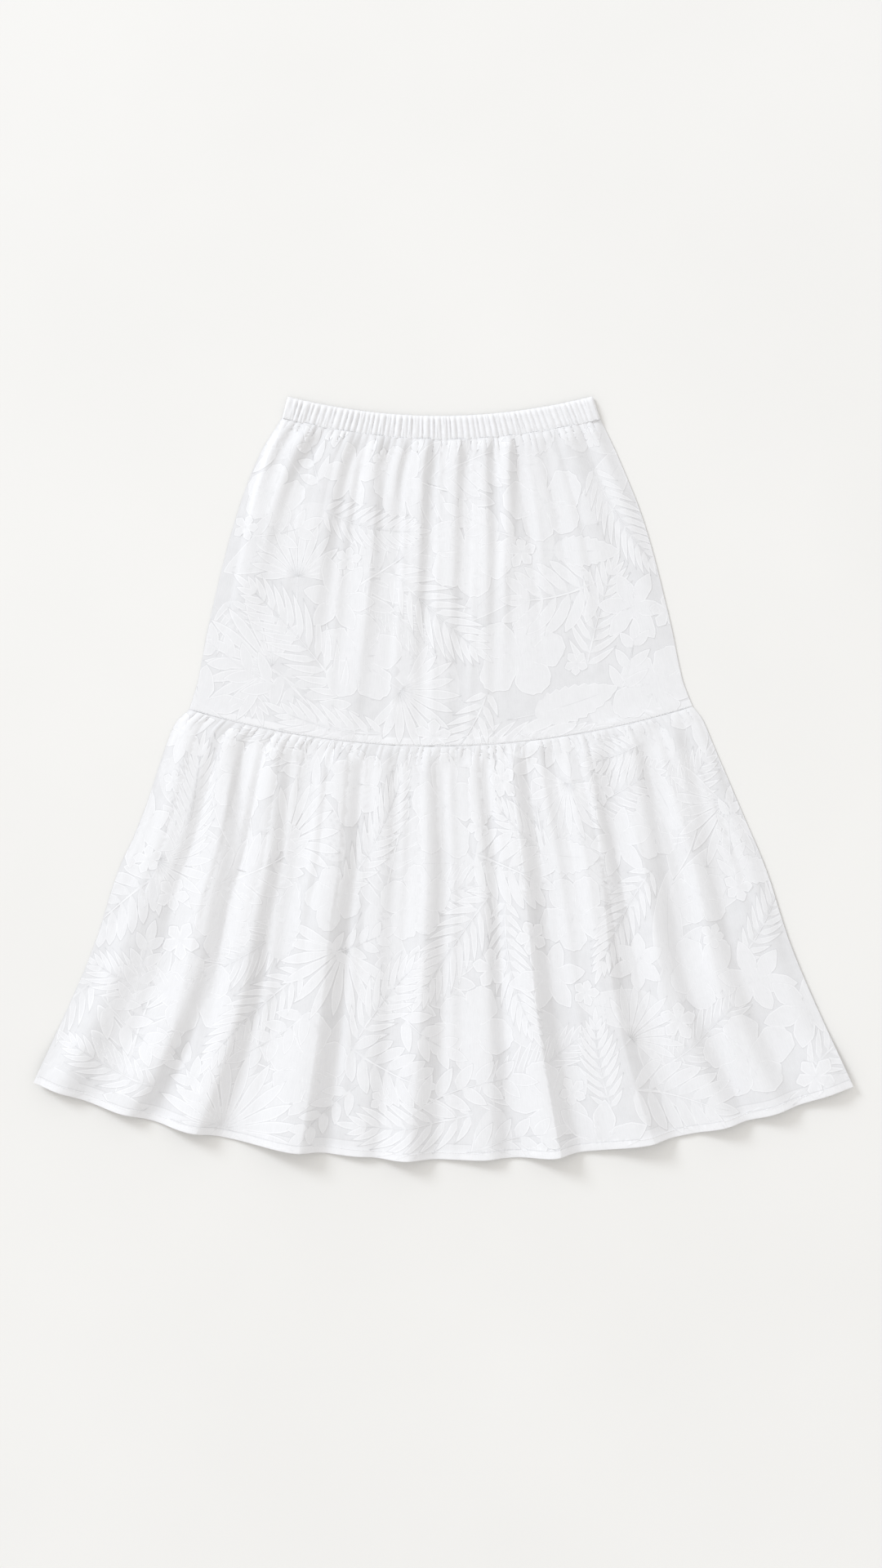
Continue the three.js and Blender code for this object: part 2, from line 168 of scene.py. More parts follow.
LOWER_FOLDS = table(
    "top middle bottom rise left right starts crisp",
    (0.038, 0.045, 0.032, 0.007, 0.03, 0.032, 0.5, 0),
    (0.1, 0.142, 0.113, 0.013, 0.05, 0.03, 0.35, 0),
    (0.193, 0.213, 0.197, 0.017, 0.05, 0.03, 0.28, 0),
    (0.325, 0.328, 0.325, 0.021, 0.085, 0.032, 0.24, 0.3),
    (0.398, 0.403, 0.398, 0.006, 0.04, 0.03, 0.5, 0),
    (0.476, 0.472, 0.458, 0.016, 0.045, 0.036, 0.25, 0.3),
    (0.568, 0.565, 0.557, 0.009, 0.055, 0.026, 0.4, 0),
    (0.638, 0.632, 0.643, 0.021, 0.05, 0.026, 0.24, 0.6),
    (0.795, 0.748, 0.757, 0.017, 0.08, 0.03, 0.28, 0.6),
    (0.87, 0.825, 0.849, 0.013, 0.045, 0.03, 0.3, 0),
    (0.945, 0.9, 0.91, 0.012, 0.04, 0.03, 0.3, 0),
    (0.985, 0.975, 0.978, 0.003, 0.03, 0.02, 0.4, 0),
)

# Softer creases that only show here. They run from the seam side (starts) to where they fade (ends).
UPPER_CREASES = table(
    "top bottom rise width starts ends",
    (0.15, 0.14, 0.0014, 0.02, 0.0, 0.9),
    (0.265, 0.27, 0.0013, 0.016, 0.02, 1.3),
    (0.345, 0.325, 0.0011, 0.014, 0.0, 1.1),
    (0.42, 0.4, 0.0014, 0.014, 0.0, 1.4),
    (0.505, 0.48, 0.0016, 0.016, 0.0, 1.5),
    (0.6, 0.555, 0.0013, 0.014, 0.02, 1.4),
    (0.68, 0.62, 0.0012, 0.014, 0.0, 1.0),
    (0.76, 0.72, 0.0013, 0.016, 0.0, 0.8),
    (0.84, 0.83, 0.0011, 0.02, 0.0, 1.2),
    (0.93, 0.94, 0.0006, 0.018, 0.0, 0.9),
)
LOWER_CREASES = table(
    "top bottom rise width starts ends",
    (0.07, 0.075, 0.0020, 0.014, 0.0, 0.9),
    (0.125, 0.138, 0.0013, 0.010, 0.0, 1.3),
    (0.158, 0.172, 0.0023, 0.013, 0.0, 1.5),
    (0.24, 0.255, 0.0023, 0.014, 0.0, 1.3),
    (0.285, 0.28, 0.0016, 0.012, 0.02, 0.8),
    (0.365, 0.37, 0.0020, 0.011, 0.0, 1.4),
    (0.435, 0.428, 0.0019, 0.012, 0.0, 1.3),
    (0.52, 0.51, 0.0023, 0.013, 0.0, 1.5),
    (0.6, 0.6, 0.0019, 0.012, 0.0, 1.3),
    (0.69, 0.69, 0.0023, 0.013, 0.0, 1.5),
    (0.74, 0.72, 0.0015, 0.011, 0.02, 0.8),
    (0.835, 0.8, 0.0022, 0.013, 0.0, 1.3),
    (0.91, 0.875, 0.0020, 0.012, 0.0, 1.4),
    (0.965, 0.94, 0.0014, 0.012, 0.0, 0.9),
)


# Small helpers with numbers


def mix(a, b, share):
    return a + (b - a) * share


def ease(low, high, value):
    """0 up to low, 1 from high on, and smooth between."""
    share = np.clip((value - low) / (high - low), 0, 1)
    return share * share * (3 - 2 * share)


def uneven(index):
    """A number between 0 and 1 that is always the same for the same index."""
    scrambled = np.sin(np.asarray(index) * 127.1 + 11.7) * 43758.5453
    return scrambled - np.floor(scrambled)


def to_side(across):
    return np.minimum(across, 1 - across)


# The shape of the cloth


def followed(rows, name, down):
    """One column of a table of lines, followed smoothly down the tier."""
    at = np.array([row["down"] for row in rows], float)
    value = np.array([row[name] for row in rows], float)
    i = np.clip(np.searchsorted(at, down) - 1, 0, len(rows) - 2)
    before, after = np.maximum(i - 1, 0), np.minimum(i + 2, len(rows) - 1)
    span = at[i + 1] - at[i]
    share = (down - at[i]) / span
    slope_a = (value[i + 1] - value[before]) / (at[i + 1] - at[before]) * span
    slope_b = (value[after] - value[i]) / (at[after] - at[i]) * span
    s2, s3 = share**2, share**3
    return (
        (2 * s3 - 3 * s2 + 1) * value[i]
        + (s3 - 2 * s2 + share) * slope_a
        + (3 * s2 - 2 * s3) * value[i + 1]
        + (s3 - s2) * slope_b
    )


def plan_point(lines, across, down):
    """Where a point at these shares of the width and height lies, seen from above."""
    arc = 1 - np.abs(2 * across - 1) ** followed(lines, "bow", down)
    x = mix(followed(lines, "left_x", down), followed(lines, "right_x", down), across)
    y = mix(followed(lines, "left_y", down), followed(lines, "right_y", down), across)
    return x, y - followed(lines, "drop", down) * arc


def crest_of(fold, down):
    straight = mix(fold["top"], fold["bottom"], down)
    return straight + (fold["middle"] - mix(fold["top"], fold["bottom"], 0.5)) * 4 * down * (1 - down)


def fold_height(fold, across, down, share, crisp=0.0):
    """A fold's height. Its crest is round, or sharp towards its right flank by the share crisp."""
    away = across - crest_of(fold, down)
    flank = np.where(away < 0, fold["left"], fold["right"])
    inside = np.minimum(np.abs(away) / flank, 1)
    round_crest = 0.5 * (1 + np.cos(math.pi * inside))
    sharp_crest = np.where(away > 0, (1 - inside) ** 1.4, round_crest)
    return fold["rise"] * share * mix(round_crest, sharp_crest, crisp)


def upper_folds(across, down):
    return sum(fold_height(f, across, down, 1 - ease(0, f["ends"], down)) for f in UPPER_FOLDS)


def lower_folds(across, down):
    return sum(fold_height(f, across, down, mix(f["starts"], 1, down)) for f in LOWER_FOLDS)


def laid_folds(across, down):
    """The lower tier's folds as they lie: they grow soon below the seam and lie flatter at the hem."""
    pressed = mix(1, HEM_PRESSED, down)
    return sum(
        fold_height(f, across, down, mix(f["starts"], 1, down**0.75) * pressed, f["crisp"])
        for f in LOWER_FOLDS
    )


def crease_heights(creases, across, down):
    """Soft ridges that swell from nothing and fade out again."""
    total = 0
    for crease in creases:
        away = (across - mix(crease["top"], crease["bottom"], down)) / crease["width"]
        length = ease(crease["starts"] - 0.02, crease["starts"] + 0.1, down)
        length = length * (1 - ease(mix(crease["starts"], crease["ends"], 0.4), crease["ends"], down))
        total = total + crease["rise"] * length * np.exp(-away * away * 2)
    return total


def uneven_valleys(count, seed=0):
    """Shares of the width where one gather or rib ends and the next begins."""
    i = np.arange(count + 1)
    stray = np.where(i % count == 0, 0, UNEVENNESS * (uneven(i + seed) - 0.5))
    return (i + stray) / count


def ridge_at(valleys, across):
    """Which gather a point lies on, and its height there between two valleys, from 0 to 1."""
    index = np.clip(np.searchsorted(valleys, across, side="right") - 1, 0, len(valleys) - 2)
    place = (across - valleys[index]) / (valleys[index + 1] - valleys[index])
    return index, np.sin(math.pi * np.clip(place, 0, 1))


PAST_END = np.array([1, 2]) / BAND_RIBS  # leaning ribs come in from past the band's ends
RIB_VALLEYS = np.concatenate([-PAST_END[::-1], uneven_valleys(BAND_RIBS), 1 + PAST_END])
WAIST_VALLEYS = uneven_valleys(WAIST_GATHERS)
TIER_VALLEYS = uneven_valleys(TIER_GATHERS)


def gather_height(valleys, rise, at_stitches, below, across):
    """Small gathers below a seam: round ridges with sharp valleys, each as long as it happens to be."""
    index, ridge = ridge_at(valleys, across)
    length = mix(*GATHER_LENGTHS, uneven(index + len(valleys)))
    height = rise * mix(0.7, 1.1, uneven(index))
    in_seam = mix(at_stitches, 1, ease(0, GATHER_START, below))
    fading = 1 - ease(GATHER_START, length, below)
    return height * in_seam * fading * ridge**0.5


def waist_gathers(below, across):
    return gather_height(WAIST_VALLEYS, WAIST_GATHER_RISE, WAIST_AT_STITCHES, below, across)


def tier_gathers(below, across):
    return gather_height(TIER_VALLEYS, TIER_GATHER_RISE, TIER_AT_STITCHES, below, across)


def merged_gathers(below, across, count, seed, rise, reach):
    """Wider ridges that several small gathers run together into, further down."""
    index, ridge = ridge_at(uneven_valleys(count, seed), across)
    length = reach * mix(0.45, 1, uneven(index + seed))
    height = rise * mix(0.4, 1, uneven(index + 3 * seed))
    return height * ease(-0.002, 0.012, below) * (1 - ease(0.3, 1, below / length)) * ridge


def slight_waves(x, y, rise):
    """Cloth is never quite flat: long, low, crossing waves."""
    return rise * (
        np.sin(x * 61 + 1.3 * np.sin(y * 17))
        + 0.7 * np.sin(x * 37 - y * 29 + 2.1)
        + 0.5 * np.sin(x * 23 + y * 83 + 0.6)
    )


def flat_at_sides(across, width=0.012):
    return ease(0, width, to_side(across))


def corner_lift(across, down):
    """The hem's corners stand up from the floor, and the right edge does a little above its corner."""
    corners = CORNER_LIFT * (1 - ease(0, 0.1, to_side(across))) * ease(0.82, 1, down)
    edge = EDGE_LIFT * (1 - ease(0, 0.07, 1 - across)) * ease(0.2, 0.7, down) * (1 - ease(0.8, 1, down))
    return corners + edge


def rounded(distance, radius):
    """A quarter circle: 0 at an edge, 1 from radius on."""
    return np.sqrt(np.maximum(0, 1 - (1 - np.clip(distance / radius, 0, 1)) ** 2))


def at_side(across, width):
    """1 at a side edge, and 0 from some way inside it on. width is the panel's."""
    return (1 - np.clip(to_side(across) * width / SIDE_REACH, 0, 1)) ** 2


def upper_point(across, down):
    """The outer surface of the upper tier's front."""
    x, y = plan_point(UPPER_LINES, across, down)
    below = UPPER_HEIGHT * down
    above_seam = UPPER_HEIGHT - below
    folds = upper_folds(across, down) * ease(-0.03, 0.05, down) * mix(UPPER_DRAPE, 1, ease(0.6, 1, down))
    gathers = waist_gathers(below, across) + merged_gathers(below, across, **UPPER_MERGED)
    creases = crease_heights(UPPER_CREASES, across, down)
    raised = WAIST_STEP * (1 - ease(0, 0.16, down)) + TIER_SEAM_STEP * ease(0.93, 1, down)
    allowance = ALLOWANCE_STEP * (1 - ease(ALLOWANCE - 0.0006, ALLOWANCE + 0.0006, above_seam))
    waves = slight_waves(x, y, UPPER_WAVES)
    soft = flat_at_sides(across) * (folds + gathers + creases + waves)
    dips = SEAM_DIP * (2 - rounded(below, SEAM_ROLL) - rounded(above_seam, SEAM_ROLL))
    z = mix(FRONT_BASE + CLOTH + raised + allowance - dips, SIDE_MEETS, at_side(across, UPPER_WIDTH))
    return x, y, z + soft


def lower_point(across, down):
    """The outer surface of the lower tier's front."""
    x, y = plan_point(LOWER_LINES, across, down)
    inside = ease(0, 0.03, to_side(across))
    y = y - SCALLOP * lower_folds(across + SCALLOP_AHEAD, 1) * inside * ease(0.6, 1, down)
    below = LOWER_HEIGHT * down
    above_hem = LOWER_HEIGHT - below
    folds = mix(upper_folds(across, 1), laid_folds(across, down), ease(0, 0.06, down))
    gathers = tier_gathers(below, across) + merged_gathers(below, across, **LOWER_MERGED)
    creases = crease_heights(LOWER_CREASES, across, down)
    raised = TIER_SEAM_STEP * (1 - ease(0, 0.06, down))
    back_lift = corner_lift(across, down)
    lift = back_lift * (1 + CORNER_CLEARANCE / CORNER_LIFT)
    waves = slight_waves(x, y, LOWER_WAVES)
    soft = flat_at_sides(across) * (folds + gathers + creases + waves)
    dips = SEAM_DIP * (1 - rounded(below, SEAM_ROLL)) + 2 * SHELL * (1 - rounded(above_hem, EDGE_ROLL))
    level = FRONT_BASE + CLOTH + raised + lift + hem_step(above_hem) - dips
    return x, y, mix(level, SIDE_MEETS + back_lift, at_side(across, LOWER_WIDTH)) + soft


def hem_step(above_hem):
    """The turned-up hem stands above the single cloth."""
    return HEM_STEP * (1 - ease(HEM_DEPTH - 0.0005, HEM_DEPTH + 0.0004, above_hem))


def back_level(across, width, folds, gathers):
    """The height of the back's outer surface, which faces the floor: flat, with shallow troughs."""
    troughs = BACK_TROUGHS * folds + BACK_GATHERS * gathers
    level = mix(BACK_CLEARANCE, SIDE_CLEARANCE, at_side(across, width))
    return level + flat_at_sides(across, BACK_SIDES) * troughs


def upper_back_point(across, down):
    """The outer surface of the upper tier's back."""
    x, y = plan_point(UPPER_LINES, across, down)
    gathers = waist_gathers(UPPER_HEIGHT * down, 1 - across)
    return x, y, back_level(across, UPPER_WIDTH, upper_folds(across, down), gathers)


def lower_back_point(across, down):
    """The outer surface of the lower tier's back. Its hem is a little shorter than the front's."""
    down = down * (1 - BACK_SHORTER / LOWER_HEIGHT)
    x, y = plan_point(LOWER_LINES, across, down)
    below = LOWER_HEIGHT * down
    folds = mix(upper_folds(across, 1), lower_folds(across, down), ease(0, 0.06, down))
    level = back_level(across, LOWER_WIDTH, folds, tier_gathers(below, 1 - across))
    return x, y, level - hem_step(LOWER_HEIGHT - below - BACK_SHORTER) + corner_lift(across, down)


def rib_height(across, down):
    """The ribs of the elastic casing, and how much of a rib each place is, from 0 to 1. They lean outwards
    towards the band's ends, and some of them fork."""
    outwards = 2 * across - 1
    leaning = across - RIB_LEAN * (down - 0.5) * outwards * (1 - outwards**4)
    index, ridge = ridge_at(RIB_VALLEYS, leaning)
    middle = (RIB_VALLEYS[index] + RIB_VALLEYS[index + 1]) / 2
    away = (leaning - middle) * BAND_RIBS
    forks = uneven(index + 5)
    downward = np.where(forks > 1 - FORKED_DOWN, ease(0.25, 0.95, down), 0)
    upward = np.where(forks < FORKED_UP, 1 - ease(0.05, 0.7, down), 0)
    notch = (downward + upward) * np.exp(-((away / 0.13) ** 2))
    height = RIB_RISE * mix(0.65, 1.1, uneven(index + 90))
    return height * (ridge**0.8 - 0.7 * notch), ridge


def band_front_point(across, down):
    """The front half of the waistband: cloth folded over the elastic, ribbed and rounded at every edge."""
    x, y = plan_point(BAND_LINES, across, down)
    below = BAND_HEIGHT * down
    to_bottom = BAND_HEIGHT - below
    edges = rounded(below, BAND_TOP_ROLL) * rounded(to_side(across) * BAND_LENGTH, BAND_END_ROLL)
    ribs, swell = rib_height(across, down)
    sink = RIB_SINK * mix(0.3, 1, ease(0, 0.008, to_bottom))
    ribs = ribs * mix(0.25, 1, ease(0, 0.005, below)) * mix(0.4, 1, ease(0, 0.007, to_bottom))
    y = y + RIB_BULGE * swell * (0.6 * (1 - ease(0, 0.006, below)) - (1 - ease(0, 0.005, to_bottom)))
    stitched_down = STITCH_DIP * np.exp(-(((to_bottom - BAND_STITCH) / 0.0009) ** 2))
    return x, y, CASING + SEAM / 2 + edges * (CASING + SEAM / 2 - sink + ribs - stitched_down)


def band_back_point(across, down):
    """The back half of the waistband, whose outside faces the floor."""
    x, y = plan_point(BAND_LINES, across, down)
    below = BAND_HEIGHT * down
    edges = rounded(below, 0.0026) * mix(0.5, 1, rounded(BAND_HEIGHT - below, 0.0022))
    edges = edges * rounded(to_side(across) * BAND_LENGTH, BAND_END_ROLL)
    ribs = BACK_RIBS * rib_height(1 - across, down)[0]
    return x, y, CASING + SEAM / 2 - edges * (CASING + SEAM / 2 - BAND_BACK_CLEARANCE + ribs)


NORMAL_STEP = 2e-4  # normals are measured over this share of a panel


def surface(point, across, down, raised=0.0):
    """Points on a surface, moved out along its normal by raised."""

    def place(across, down):
        return np.stack(np.broadcast_arrays(*point(across, down)), -1)

    here = place(across, down)
    if not np.any(raised):
        return here
    sideways = np.where(across > 0.5, -NORMAL_STEP, NORMAL_STEP)
    downwards = np.where(down > 0.5, -NORMAL_STEP, NORMAL_STEP)
    beside = place(across + sideways, down) - here
    below = place(across, down + downwards) - here
    normal = np.cross(below * np.sign(downwards)[..., None], beside * np.sign(sideways)[..., None])
    normal /= np.linalg.norm(normal, axis=-1, keepdims=True) + 1e-12
    return here + normal * np.asarray(raised)[..., None]


# Meshes


def mesh_piece(name, points, faces, materials, face_material=None, cloth=None, normals=None, **shares):
    """A mesh object from arrays. faces is a list of arrays of quads or triangles. cloth gives each point its
    place on the flat cloth in metres, normals its own shading normal, and shares are further attributes."""
    mesh = bpy.data.meshes.new(name)
    mesh.from_pydata(points.tolist(), [], [face for block in faces for face in block.tolist()])
    for material in materials:
        mesh.materials.append(material)
    if face_material is not None:
        mesh.polygons.foreach_set("material_index", np.asarray(face_material, np.int32))
    if cloth is not None:
        corner = np.zeros(len(mesh.loops), np.int32)
        mesh.loops.foreach_get("vertex_index", corner)
        mesh.uv_layers.new(name="cloth").data.foreach_set("uv", cloth[corner].astype(np.float32).ravel())
    for share_name, values in shares.items():
        made = mesh.attributes.new(share_name, "FLOAT", "POINT")
        made.data.foreach_set("value", values.astype(np.float32))
    mesh.shade_smooth()
    mesh.update()
    if normals is not None:
        own = mesh.attributes.new("custom_normal", "FLOAT_VECTOR", "POINT")
        own.data.foreach_set("vector", normals.astype(np.float32).ravel())
    piece = bpy.data.objects.new(name, mesh)
    bpy.context.scene.collection.objects.link(piece)
    return piece


def grid_quads(rows, columns, start=0):
    """Quads between the points of a grid whose rows run from the waist to the hem, facing up."""
    index = start + np.arange(rows * columns).reshape(rows, columns)
    upper, lower = index[:-1], index[1:]
    return np.stack([upper[:, :-1], lower[:, :-1], lower[:, 1:], upper[:, 1:]], -1).reshape(-1, 4)


def stitched(first, second, first_share, second_share):
    """Triangles between two lines of points, matched by a share that grows along both."""
    triangles = []
    i = j = 0
    while i < len(first) - 1 or j < len(second) - 1:
        second_next = second_share[j + 1] if j < len(second) - 1 else math.inf
        first_next = first_share[i + 1] if i < len(first) - 1 else math.inf
        if second_next <= first_next:
            triangles.append((first[i], second[j], second[j + 1]))
            j += 1
        else:
            triangles.append((first[i], second[j], first[i + 1]))
            i += 1
    return np.array(triangles)


def shell(name, outer, inner, outer_shares, inner_shares, cut, materials, row_material=None):
    """A closed thin shell between a fine outer grid and a coarser inner grid. Shares are (rows, columns)."""
    o_rows, o_columns = outer.shape[:2]
    i_rows, i_columns = inner.shape[:2]
    o = np.arange(o_rows * o_columns).reshape(o_rows, o_columns)
    i = o.size + np.arange(i_rows * i_columns).reshape(i_rows, i_columns)
    outside = grid_quads(o_rows, o_columns)
    inside = grid_quads(i_rows, i_columns, o.size)[:, ::-1]
    rims = [
        stitched(i[0], o[0], inner_shares[1], outer_shares[1]),
        stitched(o[-1], i[-1], outer_shares[1], inner_shares[1]),
        stitched(o[:, 0], i[:, 0], outer_shares[0], inner_shares[0]),
        stitched(i[:, -1], o[:, -1], inner_shares[0], outer_shares[0]),
    ]
    points = np.concatenate([outer.reshape(-1, 3), inner.reshape(-1, 3)])
    cloth = np.concatenate([flat_places(*outer_shares, cut), flat_places(*inner_shares, cut)])
    chosen = None
    if row_material is not None:
        strips = np.repeat(row_material, o_columns - 1)
        chosen = np.concatenate([strips, np.zeros(len(inside) + sum(len(r) for r in rims))])
    return mesh_piece(name, points, [outside, inside, *rims], materials, chosen, cloth)


def flat_places(rows, columns, cut):
    across, down = np.meshgrid(columns, rows)
    return np.stack([across * cut[0], down * cut[1]], -1).reshape(-1, 2)


def steps(start, stop, size):
    """Even steps of about this size, from start to just before stop."""
    return np.linspace(start, stop, max(2, round((stop - start) / size) + 1))[:-1]


def column_places(count, width):
    """Even columns, with more of them where the side edges round off."""
    near = np.array([0, 0.0003, 0.0009, 0.0019, 0.0034, 0.0055]) / width
    even = near[-1] * 1.4
    return np.concatenate([near, steps(even, 1 - even, 1 / count), [1 - even], 1 - near[::-1]])


# Rows close together where the cloth turns down into a seam
IN_SEAM = [0, 0.0006, 0.0013, 0.0022, 0.0034]


def row_places(height, gathered, size, above_edge):
    """Rows down a tier: close in its upper seam, fine over its gathers, then of this size, and at last at
    set heights above its lower edge."""
    above_edge = np.array(above_edge)
    wider = steps(gathered, height - above_edge[0], size)
    return np.concatenate([IN_SEAM, steps(0.005, gathered, 0.003), wider, height - above_edge]) / height


def panel(name, point, columns, rows, cut, materials, doubled=None, faces_floor=False, flat_inside=None):
    """A shell that follows one surface, with fewer rows inside. The rows below the share doubled of its
    height are of two layers, and flat_inside is the level of a plain inside."""
    across, down = np.meshgrid(columns, rows)
    outer = surface(point, across, down)
    few_rows = np.unique(np.concatenate([rows[:6], rows[6::3], [1]]))
    inner = surface(point, *np.meshgrid(columns, few_rows))
    inner[..., 2] += SHELL if faces_floor else -SHELL
    if flat_inside is not None:
        inner[..., 2] = flat_inside
    row_material = None
    if doubled is not None:
        row_material = np.where((rows[:-1] + rows[1:]) / 2 > doubled, 1, 0)
    if faces_floor:
        outer, inner = outer[:, ::-1], inner[:, ::-1]
        columns = 1 - columns[::-1]
    shares = (rows, columns), (few_rows, columns)
    return shell(name, outer, inner, *shares, cut, materials, row_material)


# The leaves and flowers of the burnout cloth. Each is a set of patches in the flat, growing from the origin
# along +Y: points in metres, top (0 at a rim, 1 inside it), lift (a patch's own share of extra height) and
# edge (how far a point is from the patch's rim, in metres, and more where it joins its stem).

BEVEL = 0.0005  # a motif's rim falls to the ground cloth over this width
RELIEF = 0.00014  # how far a motif stands above the ground cloth
LEVEL_STEP = 0.00003  # and how much higher one that overlaps it lies
UNDER_LEVELS = 6  # at most so many lie on each other below, and so many above
MOST_LEVELS = 9
RIM_SINK = 0.00008  # rims end just inside the ground cloth
BACK_RELIEF = 0.6  # motifs on the underside are pressed flatter
FAR_ROUNDING = 0.1  # how much shorter a petal is at its sides
STEM = 0.0028  # the widths of a stem and of a vein
VEIN = 0.0015


def blade(length, width, peak, fullness, bend=0, along=9, beside=5, lift=0, teeth=0, tooth=0, ruffle=0,
          wobble=0, phase=0, far_width=0):
    """A leaflet, leaf or petal. peak is where it is widest, as a share of its length, and fullness how blunt
    it is: small for blunt. bend curves it sideways, teeth cut into its edge, ruffle waves its far edge and
    wobble its sides. With a far_width it ends as wide as that share of its width, in a rounded edge."""
    share = np.concatenate([[0], np.linspace(BEVEL / length, 1 - BEVEL / length, along - 2), [1]])
    down = share[:, None]
    curve = np.sin(math.pi * share ** (math.log(0.5) / math.log(peak))) ** fullness
    if far_width:
        curve = np.where(share > peak, mix(1, far_width, ease(peak, 1, share)), curve)
    notches = 1 - tooth * (1 - (share * teeth) % 1) if teeth else 1
    notches = notches * (1 + wobble * np.sin(2 * math.pi * (2.6 * share + phase)))
    half = 0.5 * width * np.maximum(curve * notches, 0.03)
    body = np.maximum(half - BEVEL, 0.35 * half)[:, None] * np.linspace(-1, 1, beside - 2)
    x = np.concatenate([-half[:, None], body, half[:, None]], 1)
    across = x / half[:, None]
    wave = ruffle * length * np.cos(across * 2.5 * math.pi + 6 * phase) * down**5
    rounding = FAR_ROUNDING * length * across**2 * down**3 if far_width else 0
    y = down * length + wave - rounding
    top = np.ones_like(x)
    top[0] = top[-1] = 0
    top[:, 0] = top[:, -1] = 0
    to_end = length * to_side(down)
    # the painted highlight and shadow lines along the rim fade out where a blade joins its stem
    joint = PAINTED_RIM_HIGHLIGHT[1] * (1 - ease(0.08, 0.3, down))
    points = np.stack([x + bend * length * down**2, y], -1)
    return dict(
        points=points.reshape(-1, 2),
        top=top.ravel(),
        lift=np.full(x.size, lift),
        edge=(np.minimum(half[:, None] - np.abs(x), to_end) + joint).ravel(),
        quads=grid_quads(along, beside),
    )


def turned(patch, angle=0.0, x=0.0, y=0.0):
    """The same patch, turned clockwise by an angle in degrees and then moved."""
    c, s = math.cos(math.radians(angle)), math.sin(math.radians(angle))
    return {**patch, "points": patch["points"] @ np.array([[c, -s], [s, c]]) + (x, y)}


def joined(patches):
    """One patch from several."""
    first = np.cumsum([0] + [len(p["points"]) for p in patches[:-1]])
    whole = {key: np.concatenate([p[key] for p in patches]) for key in ("points", "top", "lift", "edge")}
    whole["quads"] = np.concatenate([p["quads"] + start for p, start in zip(patches, first)])
    return whole


def stem(length, width=STEM, lift=0.6):
    """A stalk, a middle rib or a stamen: a narrow strip on top of the rest of its motif."""
    return blade(length, width, 0.3, 0.3, along=max(4, round(length / 0.010)), lift=lift)


def curved(patch, turns):
    """A whole motif bent sideways along an arc. turns is in radians for each metre."""
    x, y = patch["points"].T
    c, s = np.cos(turns * y), np.sin(turns * y)
    return {**patch, "points": np.stack([x * c + (1 - c) / turns, s / turns - x * s], -1)}


# The shapes take a chance from 0 to 1, so that no two motifs are alike.


def pair_lift(i, side):
    """Neighbouring leaflets lie at different heights, so that each has its own rim."""
    return 0.2 * (i % 2) + 0.05 * side


def fern(chance):
    """A frond with pairs of slender curved leaflets that shorten towards both ends."""
    pairs = 8 + round(4 * chance)
    length = 0.0128 * pairs
    leaflet = dict(width=0.0084, peak=0.4, fullness=0.9)
    patches = [stem(length, width=0.0022)]
    for i in range(pairs):
        at = (i + 0.6) / (pairs + 0.3)
        long = mix(0.040, 0.052, uneven(chance)) * math.sin(math.pi * (0.17 + 0.76 * at)) ** 0.8
        for side in (-1, 1):
            own = long * (0.92 + 0.16 * uneven(i * side + chance))
            one = blade(own, **leaflet, bend=-0.20 * side, lift=0.15 + pair_lift(i, side))
            patches.append(turned(one, side * (60 - 26 * at), y=at * length - 0.004))
    patches.append(turned(blade(0.026, **leaflet), y=0.95 * length))
    return curved(joined(patches), mix(-4.5, 4.6, chance))


def sprig(chance):
    """A stem with a few broad, pointed leaflets."""
    pairs = 3 + round(2 * chance)
    length = 0.023 * pairs
    leaflet = dict(width=0.0145, peak=0.42, fullness=0.8, along=8)
    patches = [stem(length, width=0.0024)]
    for i in range(pairs):
        at = 0.18 + 0.72 * i / (pairs - 1)
        for side in (-1, 1):
            one = blade(0.037 - 0.012 * at, **leaflet, bend=-0.1 * side, lift=0.1 + pair_lift(i, side))
            patches.append(turned(one, side * 50, y=length * (at - 0.02 * side)))
    patches.append(turned(blade(0.032, width=0.0145, peak=0.45, fullness=0.85), y=0.97 * length))
    return curved(joined(patches), mix(6, -6.1, chance))


def palm_fan(chance):
    """Narrow pointed blades that spread from one place."""
    blades = 9 + round(4 * chance)
    spread = 7.2 * blades
    patches = []
    for i in range(blades):
        part = 2 * i / (blades - 1) - 1
        long = 0.072 * (1 - 0.22 * part**2) * (0.9 + 0.18 * uneven(i + chance))
        lift = 0.1 * (i % 2) + 0.055 * i
        one = blade(long, width=0.0118, peak=0.62, fullness=0.85, bend=0.1 * part, along=10, lift=lift)
        patches.append(turned(one, spread * part, x=0.004 * part))
    patches.append(turned(stem(0.040, width=0.0032), 180))
    return curved(joined(patches), mix(-3, 3.1, chance))


def flower(chance, petal=0.046, width=0.036, peak=0.66, fullness=0.5, ruffle=0.02, petals=5, far_width=0.62):
    """Broad, uneven petals round a small spray of stamens."""
    patches = []
    for i in range(petals):
        large = 0.80 + 0.30 * uneven(i + chance * 50)
        shape = dict(bend=0.03, along=14, beside=9, ruffle=ruffle, wobble=0.05, far_width=far_width)
        shape.update(lift=0.11 * i, phase=0.37 * i + chance)
        one = blade(petal * large, width * (0.84 + 0.2 * large), peak, fullness, **shape)
        patches.append(turned(one, 360 * i / petals + 14 * uneven(i + chance * 9)))
    for i in range(6):
        stamen = stem(petal * (0.36 + 0.1 * (i % 2)), VEIN, lift=0.7 + 0.05 * i)
        patches.append(turned(stamen, 60 * (i + 0.5)))
    return joined(patches)


def pointed_flower(chance):
    """A flower with six narrower, pointed petals."""
    shape = dict(petal=0.045, width=0.0215, peak=0.5, fullness=0.8, ruffle=0, petals=6, far_width=0)
    return flower(chance, **shape)


def blossom(chance):
    """A small flower with five round petals."""
    petals = []
    for i in range(5):
        shape = dict(width=0.0135, peak=0.62, fullness=0.6, along=6, lift=0.16 * i)
        petals.append(turned(blade(0.0150 + 0.004 * uneven(i + chance), **shape), 72 * i))
    return joined(petals)


